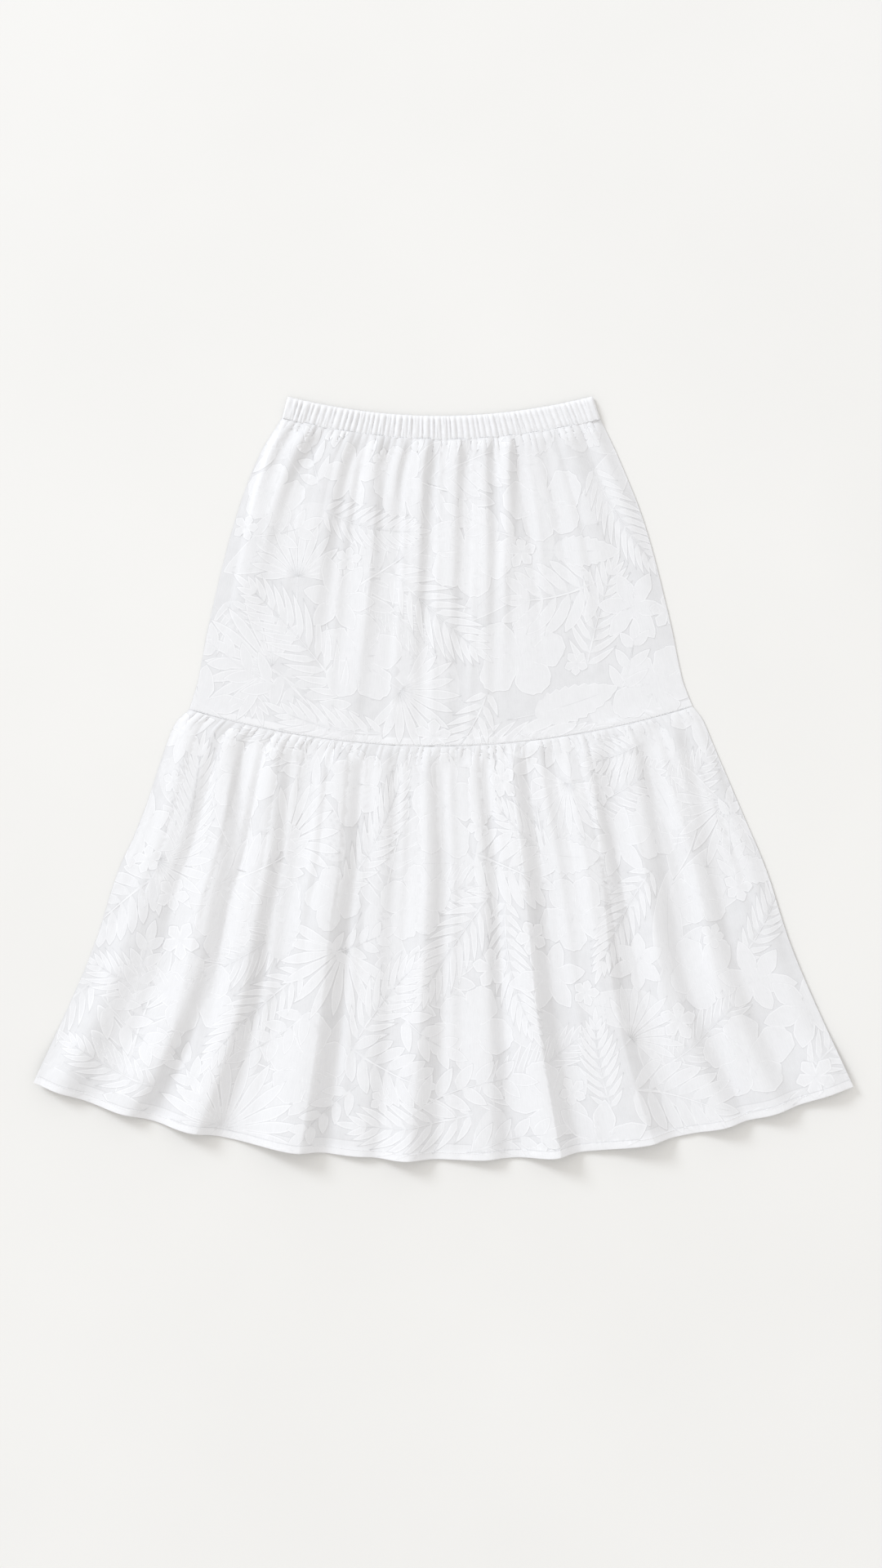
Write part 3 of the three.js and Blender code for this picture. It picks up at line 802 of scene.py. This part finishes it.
def wide_leaf(chance):
    """A large smooth leaf with a thin middle rib."""
    length = 0.145
    body = blade(length, mix(0.046, 0.066, chance), peak=0.4, fullness=0.72, along=19, beside=9)
    leaf = joined([body, stem(0.86 * length, VEIN), turned(stem(0.035), 180)])
    return curved(leaf, mix(4.5, -4.6, uneven(chance * 7)))


def toothed_leaf(chance):
    """A broad leaf with a saw-toothed edge."""
    shape = dict(peak=0.38, fullness=0.7, along=38, beside=7, teeth=9, tooth=0.2)
    body = blade(0.092, mix(0.038, 0.052, chance), **shape)
    return curved(joined([body, stem(0.077, VEIN), turned(stem(0.030), 180)]), mix(-4, 4.1, chance))


def split_leaf(chance):
    """A broad leaf that is split into lobes from its edge towards its middle rib."""
    length = 0.115
    lobe = dict(width=0.0158, peak=0.55, fullness=0.5)
    patches = [stem(length, width=0.0034)]
    for i in range(6):
        at = 0.06 + 0.84 * i / 6
        long = mix(0.044, 0.056, chance) * math.sin(math.pi * (0.25 + 0.68 * at)) ** 0.7
        for side in (-1, 1):
            one = blade(long, **lobe, bend=-0.2 * side, lift=0.1 + pair_lift(i, side))
            patches.append(turned(one, side * (72 - 28 * at), y=at * length))
    patches.append(turned(blade(0.038, width=0.0158, peak=0.42, fullness=0.7), y=0.088))
    return curved(joined(patches), mix(4, -4.1, chance))


# How many of each motif lie on a square metre, how their sizes vary, and how opaque they are. Each is placed
# where the cloth is barest. Those with under=True lie below the others and fill what they leave.
MOTIFS = table(
    "shape count small large faint opaque under",
    (flower, 38, 0.85, 1.25, 0.6, 1.0, False),
    (palm_fan, 17, 0.9, 1.25, 0.5, 1.0, False),
    (fern, 36, 0.85, 1.2, 0.6, 1.0, False),
    (split_leaf, 17, 0.9, 1.2, 0.5, 0.9, False),
    (pointed_flower, 24, 0.85, 1.2, 0.6, 1.0, False),
    (toothed_leaf, 22, 0.85, 1.15, 0.4, 0.9, False),
    (sprig, 34, 0.85, 1.15, 0.5, 1.0, False),
    (wide_leaf, 80, 0.7, 1.15, 0.0, 0.6, True),
    (fern, 24, 0.9, 1.25, 0.0, 0.6, True),
    (split_leaf, 16, 0.9, 1.25, 0.0, 0.6, True),
    (blossom, 50, 0.8, 1.4, 0.6, 1.0, False),
)
TRIES = 24  # random places for each motif
CELL = 0.005  # the squares in which it is counted what is covered
STRAY = 0.00013  # a motif's faces keep this close to the cloth's surface
REFINEMENTS = 3  # rounds of halving, for faces that don't
STEEPEST = 0.7  # a rim that turns further from the cloth, by this cosine, keeps the cloth's shading


def laid_out(cut, seed):
    """Motifs spread over flat cloth: each goes where the cloth is barest among a few random places."""
    chance = np.random.default_rng(seed)
    shape = (int(cut[0] / CELL) + 1, int(cut[1] / CELL) + 1)
    covered = np.zeros(shape)
    levels = {True: np.zeros(shape, int), False: np.zeros(shape, int)}
    found = []
    for row in MOTIFS:
        under = row["under"]
        for _ in range(round(row["count"] * cut[0] * cut[1])):
            pattern = row["shape"](chance.random())
            size = chance.uniform(row["small"], row["large"])
            tries = chance.uniform((0, 0, 0), (cut[0], cut[1], 360), (TRIES, 3))
            spots = [moved(pattern, size, *place) for place in tries]
            cells = [cells_of(spot, shape) for spot in spots]
            bare = [crowding(covered, c, len(s)) for c, s in zip(cells, spots)]
            best = int(np.argmin(bare))
            lowest = tuple(cells[best])
            most = UNDER_LEVELS if under else MOST_LEVELS
            level = min(int(levels[under][lowest].max(initial=0)) + 1, most)
            levels[under][lowest] = level
            covered[lowest] = 1
            tone = chance.uniform(row["faint"], row["opaque"])
            height = (level if under else UNDER_LEVELS + level) + 0.2 * uneven(len(found))
            found.append(dict(pattern=pattern, points=spots[best], level=height, tone=tone))
    return found


def crowding(covered, cells, count):
    """How much of a motif would lie on others, or hang over the edges of the cloth."""
    if not cells.size:
        return 1.0
    return covered[tuple(cells)].mean() + 0.4 * (1 - cells.shape[1] / count)


def moved(pattern, size, x, y, angle):
    return turned(pattern, angle)["points"] * size + (x, y)


def cells_of(points, shape):
    """The cells of the flat cloth under a motif, without what hangs over its edges."""
    cell = np.floor(points / CELL).astype(int).T
    inside = (cell[0] >= 0) & (cell[0] < shape[0]) & (cell[1] >= 0) & (cell[1] < shape[1])
    return cell[:, inside]


def refined(values, quads, height_at):
    """Halves each quad whose sides stray from the cloth, one way and then the other. The first two columns
    of values are each point's place on the flat cloth, and height_at gives the cloth's height there."""
    settled = []
    for _ in range(REFINEMENTS):
        halved = np.zeros(len(quads), bool)
        for _ in range(2):
            quads = np.roll(quads, -1, 1)
            a, b, c, d = quads.T
            level = height_at(values)
            ab, cd = (values[a] + values[b]) / 2, (values[c] + values[d]) / 2
            strays = np.abs(height_at(ab) - (level[a] + level[b]) / 2)
            strays = np.maximum(strays, np.abs(height_at(cd) - (level[c] + level[d]) / 2)) > STRAY
            first = len(values) + np.arange(strays.sum())
            second = first + len(first)
            values = np.concatenate([values, ab[strays], cd[strays]])
            left = np.stack([a[strays], first, second, d[strays]], -1)
            right = np.stack([first, b[strays], c[strays], second], -1)
            quads = np.concatenate([quads[~strays], left, right])
            halved = np.concatenate([halved[~strays], np.ones(2 * len(first), bool)])
        settled.append(quads[~halved])
        quads = quads[halved]
    return values, np.concatenate([*settled, quads])


def merged(values, quads):
    """The same mesh with equal points made one, and without points that no face uses. Quads that lose a
    corner by it become triangles, and those that lose more go."""
    _, first, same = np.unique(np.round(values, 7), axis=0, return_index=True, return_inverse=True)
    quads = same.reshape(-1)[quads]
    lost = quads == np.roll(quads, -1, 1)
    crossed = (quads[:, 0] == quads[:, 2]) | (quads[:, 1] == quads[:, 3])
    one_lost = (lost.sum(1) == 1) & ~crossed
    triangles = quads[one_lost][~lost[one_lost]].reshape(-1, 3)
    quads = quads[~lost.any(1) & ~crossed]
    used, corners = np.unique(np.concatenate([quads.ravel(), triangles.ravel()]), return_inverse=True)
    return values[first[used]], corners[:quads.size].reshape(-1, 4), corners[quads.size:].reshape(-1, 3)


def rim_normals(points, quads, outward, top):
    """Shading normals for motifs: the cloth's own on their flat tops, tilted a little at their rims."""
    a, b, c, d = (points[quads[:, k]] for k in range(4))
    facing = np.cross(c - a, d - b)
    own = np.zeros_like(points)
    for k in range(4):
        np.add.at(own, quads[:, k], facing)
    own /= np.linalg.norm(own, axis=1, keepdims=True) + 1e-12
    gentle = (own * outward).sum(1) > STEEPEST
    normals = mix(outward, own, ((1 - top) * gentle)[:, None])
    return normals / np.linalg.norm(normals, axis=1, keepdims=True)


def motif_piece(name, point, cut, length, seed, material, faces_floor=False):
    """All motifs of one panel as one mesh, laid on its surface. length is the panel's height."""
    size = np.array([cut[0] * PRINT_SHARE, length])

    def on_panel(flat):
        across, down = flat[..., 0] / size[0], flat[..., 1] / size[1]
        return (1 - across if faces_floor else across), down

    motifs = laid_out(size, seed)
    flat = np.concatenate([m["points"] for m in motifs])
    count = [len(m["points"]) for m in motifs]
    first = np.cumsum([0] + count[:-1])
    quads = np.concatenate([m["pattern"]["quads"] + start for m, start in zip(motifs, first)])
    inside = np.all((flat > 0) & (flat < size), -1)
    columns = [np.concatenate([m["pattern"][key] for m in motifs]) for key in ("top", "lift", "edge")]
    columns += [np.repeat([m[key] for m in motifs], count) for key in ("level", "tone")]
    values = np.column_stack([np.clip(flat, 0, size), *columns])
    values[~inside, 2] = 0
    values, quads = refined(values, quads[inside[quads].any(-1)], lambda v: point(*on_panel(v))[2])
    values, quads, triangles = merged(values, quads)
    flat, (top, lift, edge, level, tone) = values[:, :2], values[:, 2:].T
    in_seam = ease(0, GATHER_START, np.minimum(flat[:, 1], size[1] - flat[:, 1]))
    stands = (RELIEF + LEVEL_STEP * (level - 1 + 0.8 * lift)) * mix(0.3, 1, in_seam)
    raised = mix(-RIM_SINK, stands, top) * (-BACK_RELIEF if faces_floor else 1)
    points = surface(point, *on_panel(flat), raised)
    outward = surface(point, *on_panel(flat), np.full(len(flat), -1.0 if faces_floor else 1.0))
    outward = outward - surface(point, *on_panel(flat))
    normals = rim_normals(points, quads, outward, top)
    faces = [quads, triangles]
    return mesh_piece(name, points, faces, [material], cloth=flat, normals=normals, tone=tone, edge=edge)


# Stitches

STITCH = 0.0024  # a stitch's length
STITCH_PITCH = 0.0030  # from one stitch to the next
THREAD = 0.00028  # the thread's radius


def stitch_row(name, point, down, width, height, material, faces_floor=False):
    """A row of separate stitches across a panel. down is its share of the height."""
    count = int(width / STITCH_PITCH)
    start = (np.arange(count) + 0.5) / count
    along = np.array([-0.5, -0.36, 0.36, 0.5]) * STITCH / width
    thick = np.array([0.35, 1, 1, 0.35]) * THREAD
    level = np.array([-0.4, 0.6, 0.6, -0.4]) * THREAD
    round_x = np.array([0, 1, 0, -1])
    round_z = np.array([-1, 0, 1, 0])
    across = np.broadcast_to((start[:, None] + along)[:, :, None], (count, 4, 4))
    offset = np.broadcast_to(thick[None, :, None] * round_x, (count, 4, 4)) / height
    raised = np.broadcast_to(level[None, :, None] + thick[None, :, None] * round_z, (count, 4, 4))
    if faces_floor:
        raised = -raised
    points = surface(point, across, down + offset, raised).reshape(-1, 3)
    ring = np.arange(4)
    sides = [
        np.stack([4 * k + ring, 4 * k + (ring + 1) % 4, 4 * k + 4 + (ring + 1) % 4, 4 * k + 4 + ring], -1)
        for k in range(3)
    ]
    one = np.concatenate([*sides, [[3, 2, 1, 0], [12, 13, 14, 15]]])
    if not faces_floor:
        one = one[:, ::-1]
    quads = (one[None] + 16 * np.arange(count)[:, None, None]).reshape(-1, 4)
    return mesh_piece(name, points, [quads], [material])


# Materials


def linear(colour):
    """An sRGB hex value as the linear colour that Blender uses."""
    values = [(colour >> shift & 255) / 255 for shift in (16, 8, 0)]
    return [v / 12.92 if v <= 0.04045 else ((v + 0.055) / 1.055) ** 2.4 for v in values] + [1]


def add(tree, kind, values=None, links=None, **settings):
    """Adds one node with its settings, its inputs' values and its links."""
    made = tree.nodes.new(kind)
    for name, value in settings.items():
        setattr(made, name, value)
    for name, value in (values or {}).items():
        made.inputs[name].default_value = value
    for name, source in (links or {}).items():
        tree.links.new(source, made.inputs[name])
    return made


FIBRE_IOR = 1.53  # cotton and polyester
THREADS = 0.0011  # real threads are 0.35 mm apart, too fine to show, so they are drawn three times as coarse
THREAD_DEPTH = 0.0003
WAVE = 2 * math.pi / 20  # a wave texture's bands are this far apart at scale 1
SLUB = 0.014  # the length of a thicker place in a thread
PAINTED_RIM_SHADE = (0.0006, 0.0010)  # a painted shadow line at a rim: full up to the first distance from the rim, and gone at the second
# a painted highlight line a little inside a rim, between these distances
PAINTED_RIM_HIGHLIGHT = (0.0014, 0.0024)
HEM_LINE = (0.0003, 0.0009)


def new_material(name, roughness, sheen):
    """A cloth or thread finish with the values that are the same all over it."""
    material = bpy.data.materials.new(name)
    material.use_nodes = True
    shader = material.node_tree.nodes["Principled BSDF"]
    shader.inputs["Roughness"].default_value = roughness
    shader.inputs["IOR"].default_value = FIBRE_IOR
    shader.inputs["Specular IOR Level"].default_value = 0.3
    shader.inputs["Sheen Weight"].default_value = sheen
    shader.inputs["Sheen Roughness"].default_value = 0.5
    return material, material.node_tree


def finished(material, colour, relief=0):
    """Gives a material its colour and, with a relief, the threads of its weave."""
    tree = material.node_tree
    shader = tree.nodes["Principled BSDF"]
    tree.links.new(colour, shader.inputs["Base Color"])
    if relief:
        tree.links.new(weave(tree, relief), shader.inputs["Normal"])
    return material


def weave(tree, strength):
    """A plain weave's relief: two sets of threads at right angles, on the cloth's own grain."""
    grain = add(tree, "ShaderNodeUVMap", uv_map="cloth").outputs[0]
    wavy = {"Scale": WAVE / THREADS, "Distortion": 1.2, "Detail": 1.0, "Detail Scale": 0.6}
    threads = [
        add(tree, "ShaderNodeTexWave", wavy, {"Vector": grain}, bands_direction=direction).outputs["Fac"]
        for direction in ("X", "Y")
    ]
    crossed = add(tree, "ShaderNodeMath", links=dict(enumerate(threads)), operation="MAXIMUM")
    relief = {"Strength": strength, "Distance": THREAD_DEPTH}
    return add(tree, "ShaderNodeBump", relief, {"Height": crossed.outputs[0]}).outputs[0]


def soft_noise(tree, where, scale, detail, reach, low, high):
    """Soft patches between two values. They reach these at this distance from the noise's middle."""
    noise = add(tree, "ShaderNodeTexNoise", {"Scale": scale, "Detail": detail}, {"Vector": where})
    spread = {"From Min": 0.5 - reach, "From Max": 0.5 + reach, "To Min": low, "To Max": high}
    return add(tree, "ShaderNodeMapRange", spread, {"Value": noise.outputs["Fac"]}).outputs[0]


def mottled(tree, size, low, high):
    """Soft patches of this size in metres, between two values."""
    where = add(tree, "ShaderNodeTexCoord").outputs["Object"]
    return soft_noise(tree, where, 1 / size, 4.0, 0.15, low, high)


def mottled_colour(tree, size, first, second):
    """Soft patches of this size in metres, between two sRGB values."""
    return colours_between(tree, mottled(tree, size, 0, 1), first, second)


def slubs(tree):
    """Threads that are a little uneven in thickness: faint streaks along the cloth's grain."""
    grain = add(tree, "ShaderNodeUVMap", uv_map="cloth").outputs[0]
    stretched = {"Scale": (1 / THREADS, 1 / SLUB, 1)}
    along = add(tree, "ShaderNodeMapping", stretched, {"Vector": grain}).outputs[0]
    return soft_noise(tree, along, 1.0, 1.0, 0.2, 0.98, 1.012)


def shaded(tree, colour, share):
    """A colour made lighter or darker by a share."""
    both = {6: colour, 7: share}
    return add(tree, "ShaderNodeMix", {0: 1.0}, both, data_type="RGBA", blend_type="MULTIPLY").outputs[2]


def colours_between(tree, share, first, second):
    """A colour between two sRGB values, by a share."""
    ends = {6: linear(first), 7: linear(second)}
    return add(tree, "ShaderNodeMix", ends, {"Factor": share}, data_type="RGBA").outputs[2]


def tinted(tree, share, colour, other):
    """A colour that turns to an sRGB value by a share."""
    links = {"Factor": share, 6: colour}
    return add(tree, "ShaderNodeMix", {7: linear(other)}, links, data_type="RGBA").outputs[2]


def edge_line(tree, edge, distances, colour, line_colour):
    """Draws a line of another colour along the rims of the shapes."""
    fall = {"From Min": distances[0], "From Max": distances[1], "To Min": 1.0, "To Max": 0.0}
    share = add(tree, "ShaderNodeMapRange", fall, {"Value": edge}, interpolation_type="SMOOTHSTEP").outputs[0]
    return tinted(tree, share, colour, line_colour)


def over_hem(tree, colour, hem_colour):
    """The turned-up hem behind the cloth makes it whiter there, below a thin greyer line. Only the lower tier
    is long enough to have one."""
    grain = add(tree, "ShaderNodeUVMap", uv_map="cloth").outputs[0]
    down = add(tree, "ShaderNodeSeparateXYZ", links={0: grain}).outputs["Y"]
    hem_top = LOWER_HEIGHT - HEM_DEPTH
    below = add(tree, "ShaderNodeMath", {1: -hem_top}, {0: down}, operation="ADD").outputs[0]
    away = add(tree, "ShaderNodeMath", links={0: below}, operation="ABSOLUTE").outputs[0]
    step = {"From Min": hem_top, "From Max": hem_top + 0.0004, "To Min": 0.0, "To Max": 0.7}
    share = add(tree, "ShaderNodeMapRange", step, {"Value": down}).outputs[0]
    return edge_line(tree, away, HEM_LINE, tinted(tree, share, colour, hem_colour), 0xD9D9DB)


def burnout_ground():
    """Sheer woven polyester, left bare where the burnout paste has eaten the cotton pile away. It is a little
    greyer and cooler than the pile, slightly uneven and soft. The grey is partly painted shade: this opaque
    cloth stands in for the shaded gap between the layers, seen through the sheer cloth."""
    material, tree = new_material("burnout_ground_sheer_polyester", 0.75, 0.1)
    # the grey ground colours are partly painted shade of the gap behind the sheer cloth
    colour = over_hem(tree, mottled_colour(tree, 0.012, 0xDDDDDF, 0xE0E0E2), 0xE6E6E8)
    return finished(material, shaded(tree, colour, slubs(tree)), 0.25)


def doubled_ground():
    """The same cloth where it is turned up or lies in a seam allowance: two layers let less through, so it
    is whiter and its surface quieter."""
    material, tree = new_material("turned_up_burnout_cloth", 0.75, 0.1)
    return finished(material, mottled_colour(tree, 0.006, 0xE6E6E8, 0xE9E9EB), 0.2)


def burnout_pile():
    """The opaque cotton pile that is left as leaves and petals: matt, white and soft. A paler line just
    inside each shape is a painted highlight on its raised rim, and a thin greyer one at the rim is painted
    shadow; some shapes are half burnt out and so fainter."""
    material, tree = new_material("burnout_pile_mercerised_cotton", 0.85, 0.25)
    tone, edge = (add(tree, "ShaderNodeAttribute", attribute_name=n).outputs["Fac"] for n in ("tone", "edge"))
    fill = colours_between(tree, tone, 0xE1E1E3, 0xE6E6E8)
    # painted highlight just inside each rim, then painted shadow at the rim itself
    rim_highlighted = edge_line(tree, edge, PAINTED_RIM_HIGHLIGHT, fill, 0xEBEBED)
    rim_shaded = edge_line(tree, edge, PAINTED_RIM_SHADE, rim_highlighted, 0xDADADC)
    patchy = shaded(tree, over_hem(tree, rim_shaded, 0xEAEAEC), mottled(tree, 0.007, 0.985, 1.0))
    return finished(material, shaded(tree, patchy, slubs(tree)), 0.15)


def casing_cloth():
    """Plain woven cotton, gathered over the waist elastic: matt and opaque."""
    material, tree = new_material("waistband_plain_woven_cotton", 0.85, 0.2)
    return finished(material, mottled_colour(tree, 0.005, 0xE4E4E6, 0xE8E8EA), 0.25)


def sewing_thread():
    """Spun polyester thread: a little shinier and whiter than the cloth."""
    material, tree = new_material("spun_polyester_thread", 0.55, 0.1)
    return finished(material, mottled_colour(tree, 0.002, 0xE8E8E9, 0xEEEEEF))


def backdrop_board():
    """Matt painted board, warm off-white, with the faintest unevenness."""
    material, tree = new_material("matt_painted_board", 0.9, 0.0)
    return finished(material, mottled_colour(tree, 0.35, 0xE7E6E4, 0xE9E8E6))


# The pieces

GROUND, DOUBLED, PILE = burnout_ground(), doubled_ground(), burnout_pile()
CASING_CLOTH, THREAD_FINISH = casing_cloth(), sewing_thread()

AT_ALLOWANCE = [ALLOWANCE + 0.0007, ALLOWANCE - 0.0007]
ABOVE_TIER_SEAM = [0.016, 0.012, *AT_ALLOWANCE, 0.005, 0.0032, 0.002, 0.0012, 0.0006, 0]
ABOVE_HEM = [0.017, 0.0125, 0.0096, 0.0086, 0.0078, 0.0045, 0.002, 0.0009, 0.0005, 0.0002, 0]
UPPER_ROWS = row_places(UPPER_HEIGHT, 0.07, 0.0062, ABOVE_TIER_SEAM)
LOWER_ROWS = row_places(LOWER_HEIGHT, 0.08, 0.0068, ABOVE_HEM)
BAND_ROWS = np.array([0, 0.0004, 0.001, 0.0018, 0.0028, 0.0041, 0.006, 0.009, 0.0125, 0.016, 0.0195, 0.022,
                      0.0228, 0.0234, 0.0240, 0.0245]) / BAND_HEIGHT

# What the front and back of a tier share. The stitches lie at a height above its lower edge, along seam.
# The strip of cloth over the allowance's edge is doubled too.
UPPER = dict(cut=UPPER_CUT, height=UPPER_HEIGHT, doubled=ALLOWANCE + 0.0001, stitched=0.0016, seam=0.567)
LOWER = dict(cut=LOWER_CUT, height=LOWER_HEIGHT, doubled=HEM_DEPTH, stitched=0.0078, seam=0.92)


def dressed(node, piece, extras):
    """Hides the CAD node that a cloth piece stands for, and attaches the piece and the separate pieces on it
    to the root body.
    """
    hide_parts(node)
    for one in (piece, *extras):
        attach(one, "root")


def tier(node, point, columns, rows, seed, on, faces_floor=False, *, cut, height, doubled, stitched, seam):
    """One panel of a tier: its shell, its motifs and its row of stitches."""
    layers = [GROUND, DOUBLED]
    cloth = panel(node + "_cloth", point, columns, rows, cut, layers, 1 - doubled / height, faces_floor)
    motifs = motif_piece(node + "_motifs", point, cut, height, seed, PILE, faces_floor)
    down = 1 - stitched / height
    stitches = stitch_row(node + "_stitches_1", point, down, seam, height, THREAD_FINISH, faces_floor)
    dressed(node, cloth, [motifs, stitches])


def waistband(node, point, columns, level, faces_floor=False):
    """One half of the waistband: its casing, plain inside at this level, and its row of stitches."""
    cloth = [CASING_CLOTH]
    band = panel(node + "_casing", point, columns, BAND_ROWS, BAND_CUT, cloth, None, faces_floor, level)
    down = 1 - BAND_STITCH / BAND_HEIGHT
    row = (point, down, BAND_LENGTH, BAND_HEIGHT, THREAD_FINISH, faces_floor)
    dressed(node, band, [stitch_row(node + "_stitches", *row)])


# The floor, the light and the camera

FLOOR_REACH = 4
ROOM_LIGHT = 0.915
ROOM_COLOUR = (1.0, 0.988, 0.968, 1.0)
WINDOW_PLACE = (-9.8, 9.2, 7.5)
WINDOW_SIZE = 5.2
WINDOW_POWER = 1158
WINDOW_COLOUR = (0.88, 0.935, 1.0)
PICTURE_HEIGHT = 1.7664  # of the floor in the whole picture
PICTURE_MIDDLE = (-0.0028, -0.0064)
LENS = 60
SENSOR = 36


def floor():
    """A plain board under the skirt, much larger than the view."""
    corners = FLOOR_REACH * np.array([[-1, -1, 0], [1, -1, 0], [1, 1, 0], [-1, 1, 0]], float)
    board = mesh_piece("floor", corners, [np.array([[0, 1, 2, 3]])], [backdrop_board()])


def lights():
    """An even, slightly warm room, and one large, slightly cool window at the upper left."""
    world = bpy.data.worlds.new("white_room")
    world.use_nodes = True
    background = world.node_tree.nodes["Background"]
    background.inputs["Color"].default_value = ROOM_COLOUR
    background.inputs["Strength"].default_value = ROOM_LIGHT
    bpy.context.scene.world = world
    lamp = bpy.data.lights.new("soft_window", "AREA")
    lamp.shape = "DISK"
    lamp.size = WINDOW_SIZE
    lamp.energy = WINDOW_POWER
    lamp.color = WINDOW_COLOUR
    window = bpy.data.objects.new("soft_window", lamp)
    window.location = WINDOW_PLACE
    window.rotation_euler = (-mathutils.Vector(window.location)).to_track_quat("-Z", "Y").to_euler()
    bpy.context.scene.collection.objects.link(window)


def camera():
    """Straight above the skirt, looking down, with the waist at the top of the picture."""
    lens = bpy.data.cameras.new("camera")
    lens.sensor_width = SENSOR
    lens.lens = LENS
    eye = bpy.data.objects.new("camera", lens)
    eye.location = (*PICTURE_MIDDLE, PICTURE_HEIGHT * LENS / SENSOR)
    bpy.context.scene.collection.objects.link(eye)
    bpy.context.scene.camera = eye


camera()
lights()
floor()
bpy.context.scene.view_settings.view_transform = "Standard"

columns = column_places(180, UPPER_WIDTH)
tier("upper_tier_back", upper_back_point, columns, UPPER_ROWS[::2], 5, "floor", True, **UPPER)
columns = column_places(260, LOWER_WIDTH)
tier("lower_tier_back", lower_back_point, columns, LOWER_ROWS[::2], 6, "floor", True, **LOWER)
columns = column_places(360, UPPER_WIDTH)
tier("upper_tier_front", upper_point, columns, UPPER_ROWS, 7, "upper_tier_back", **UPPER)
columns = column_places(520, LOWER_WIDTH)
tier("lower_tier_front", lower_point, columns, LOWER_ROWS, 8, "lower_tier_back", **LOWER)
waistband("waistband_back", band_back_point, column_places(300, BAND_LENGTH), 0.0029, True)
waistband("waistband_front", band_front_point, column_places(448, BAND_LENGTH), 0.0031)
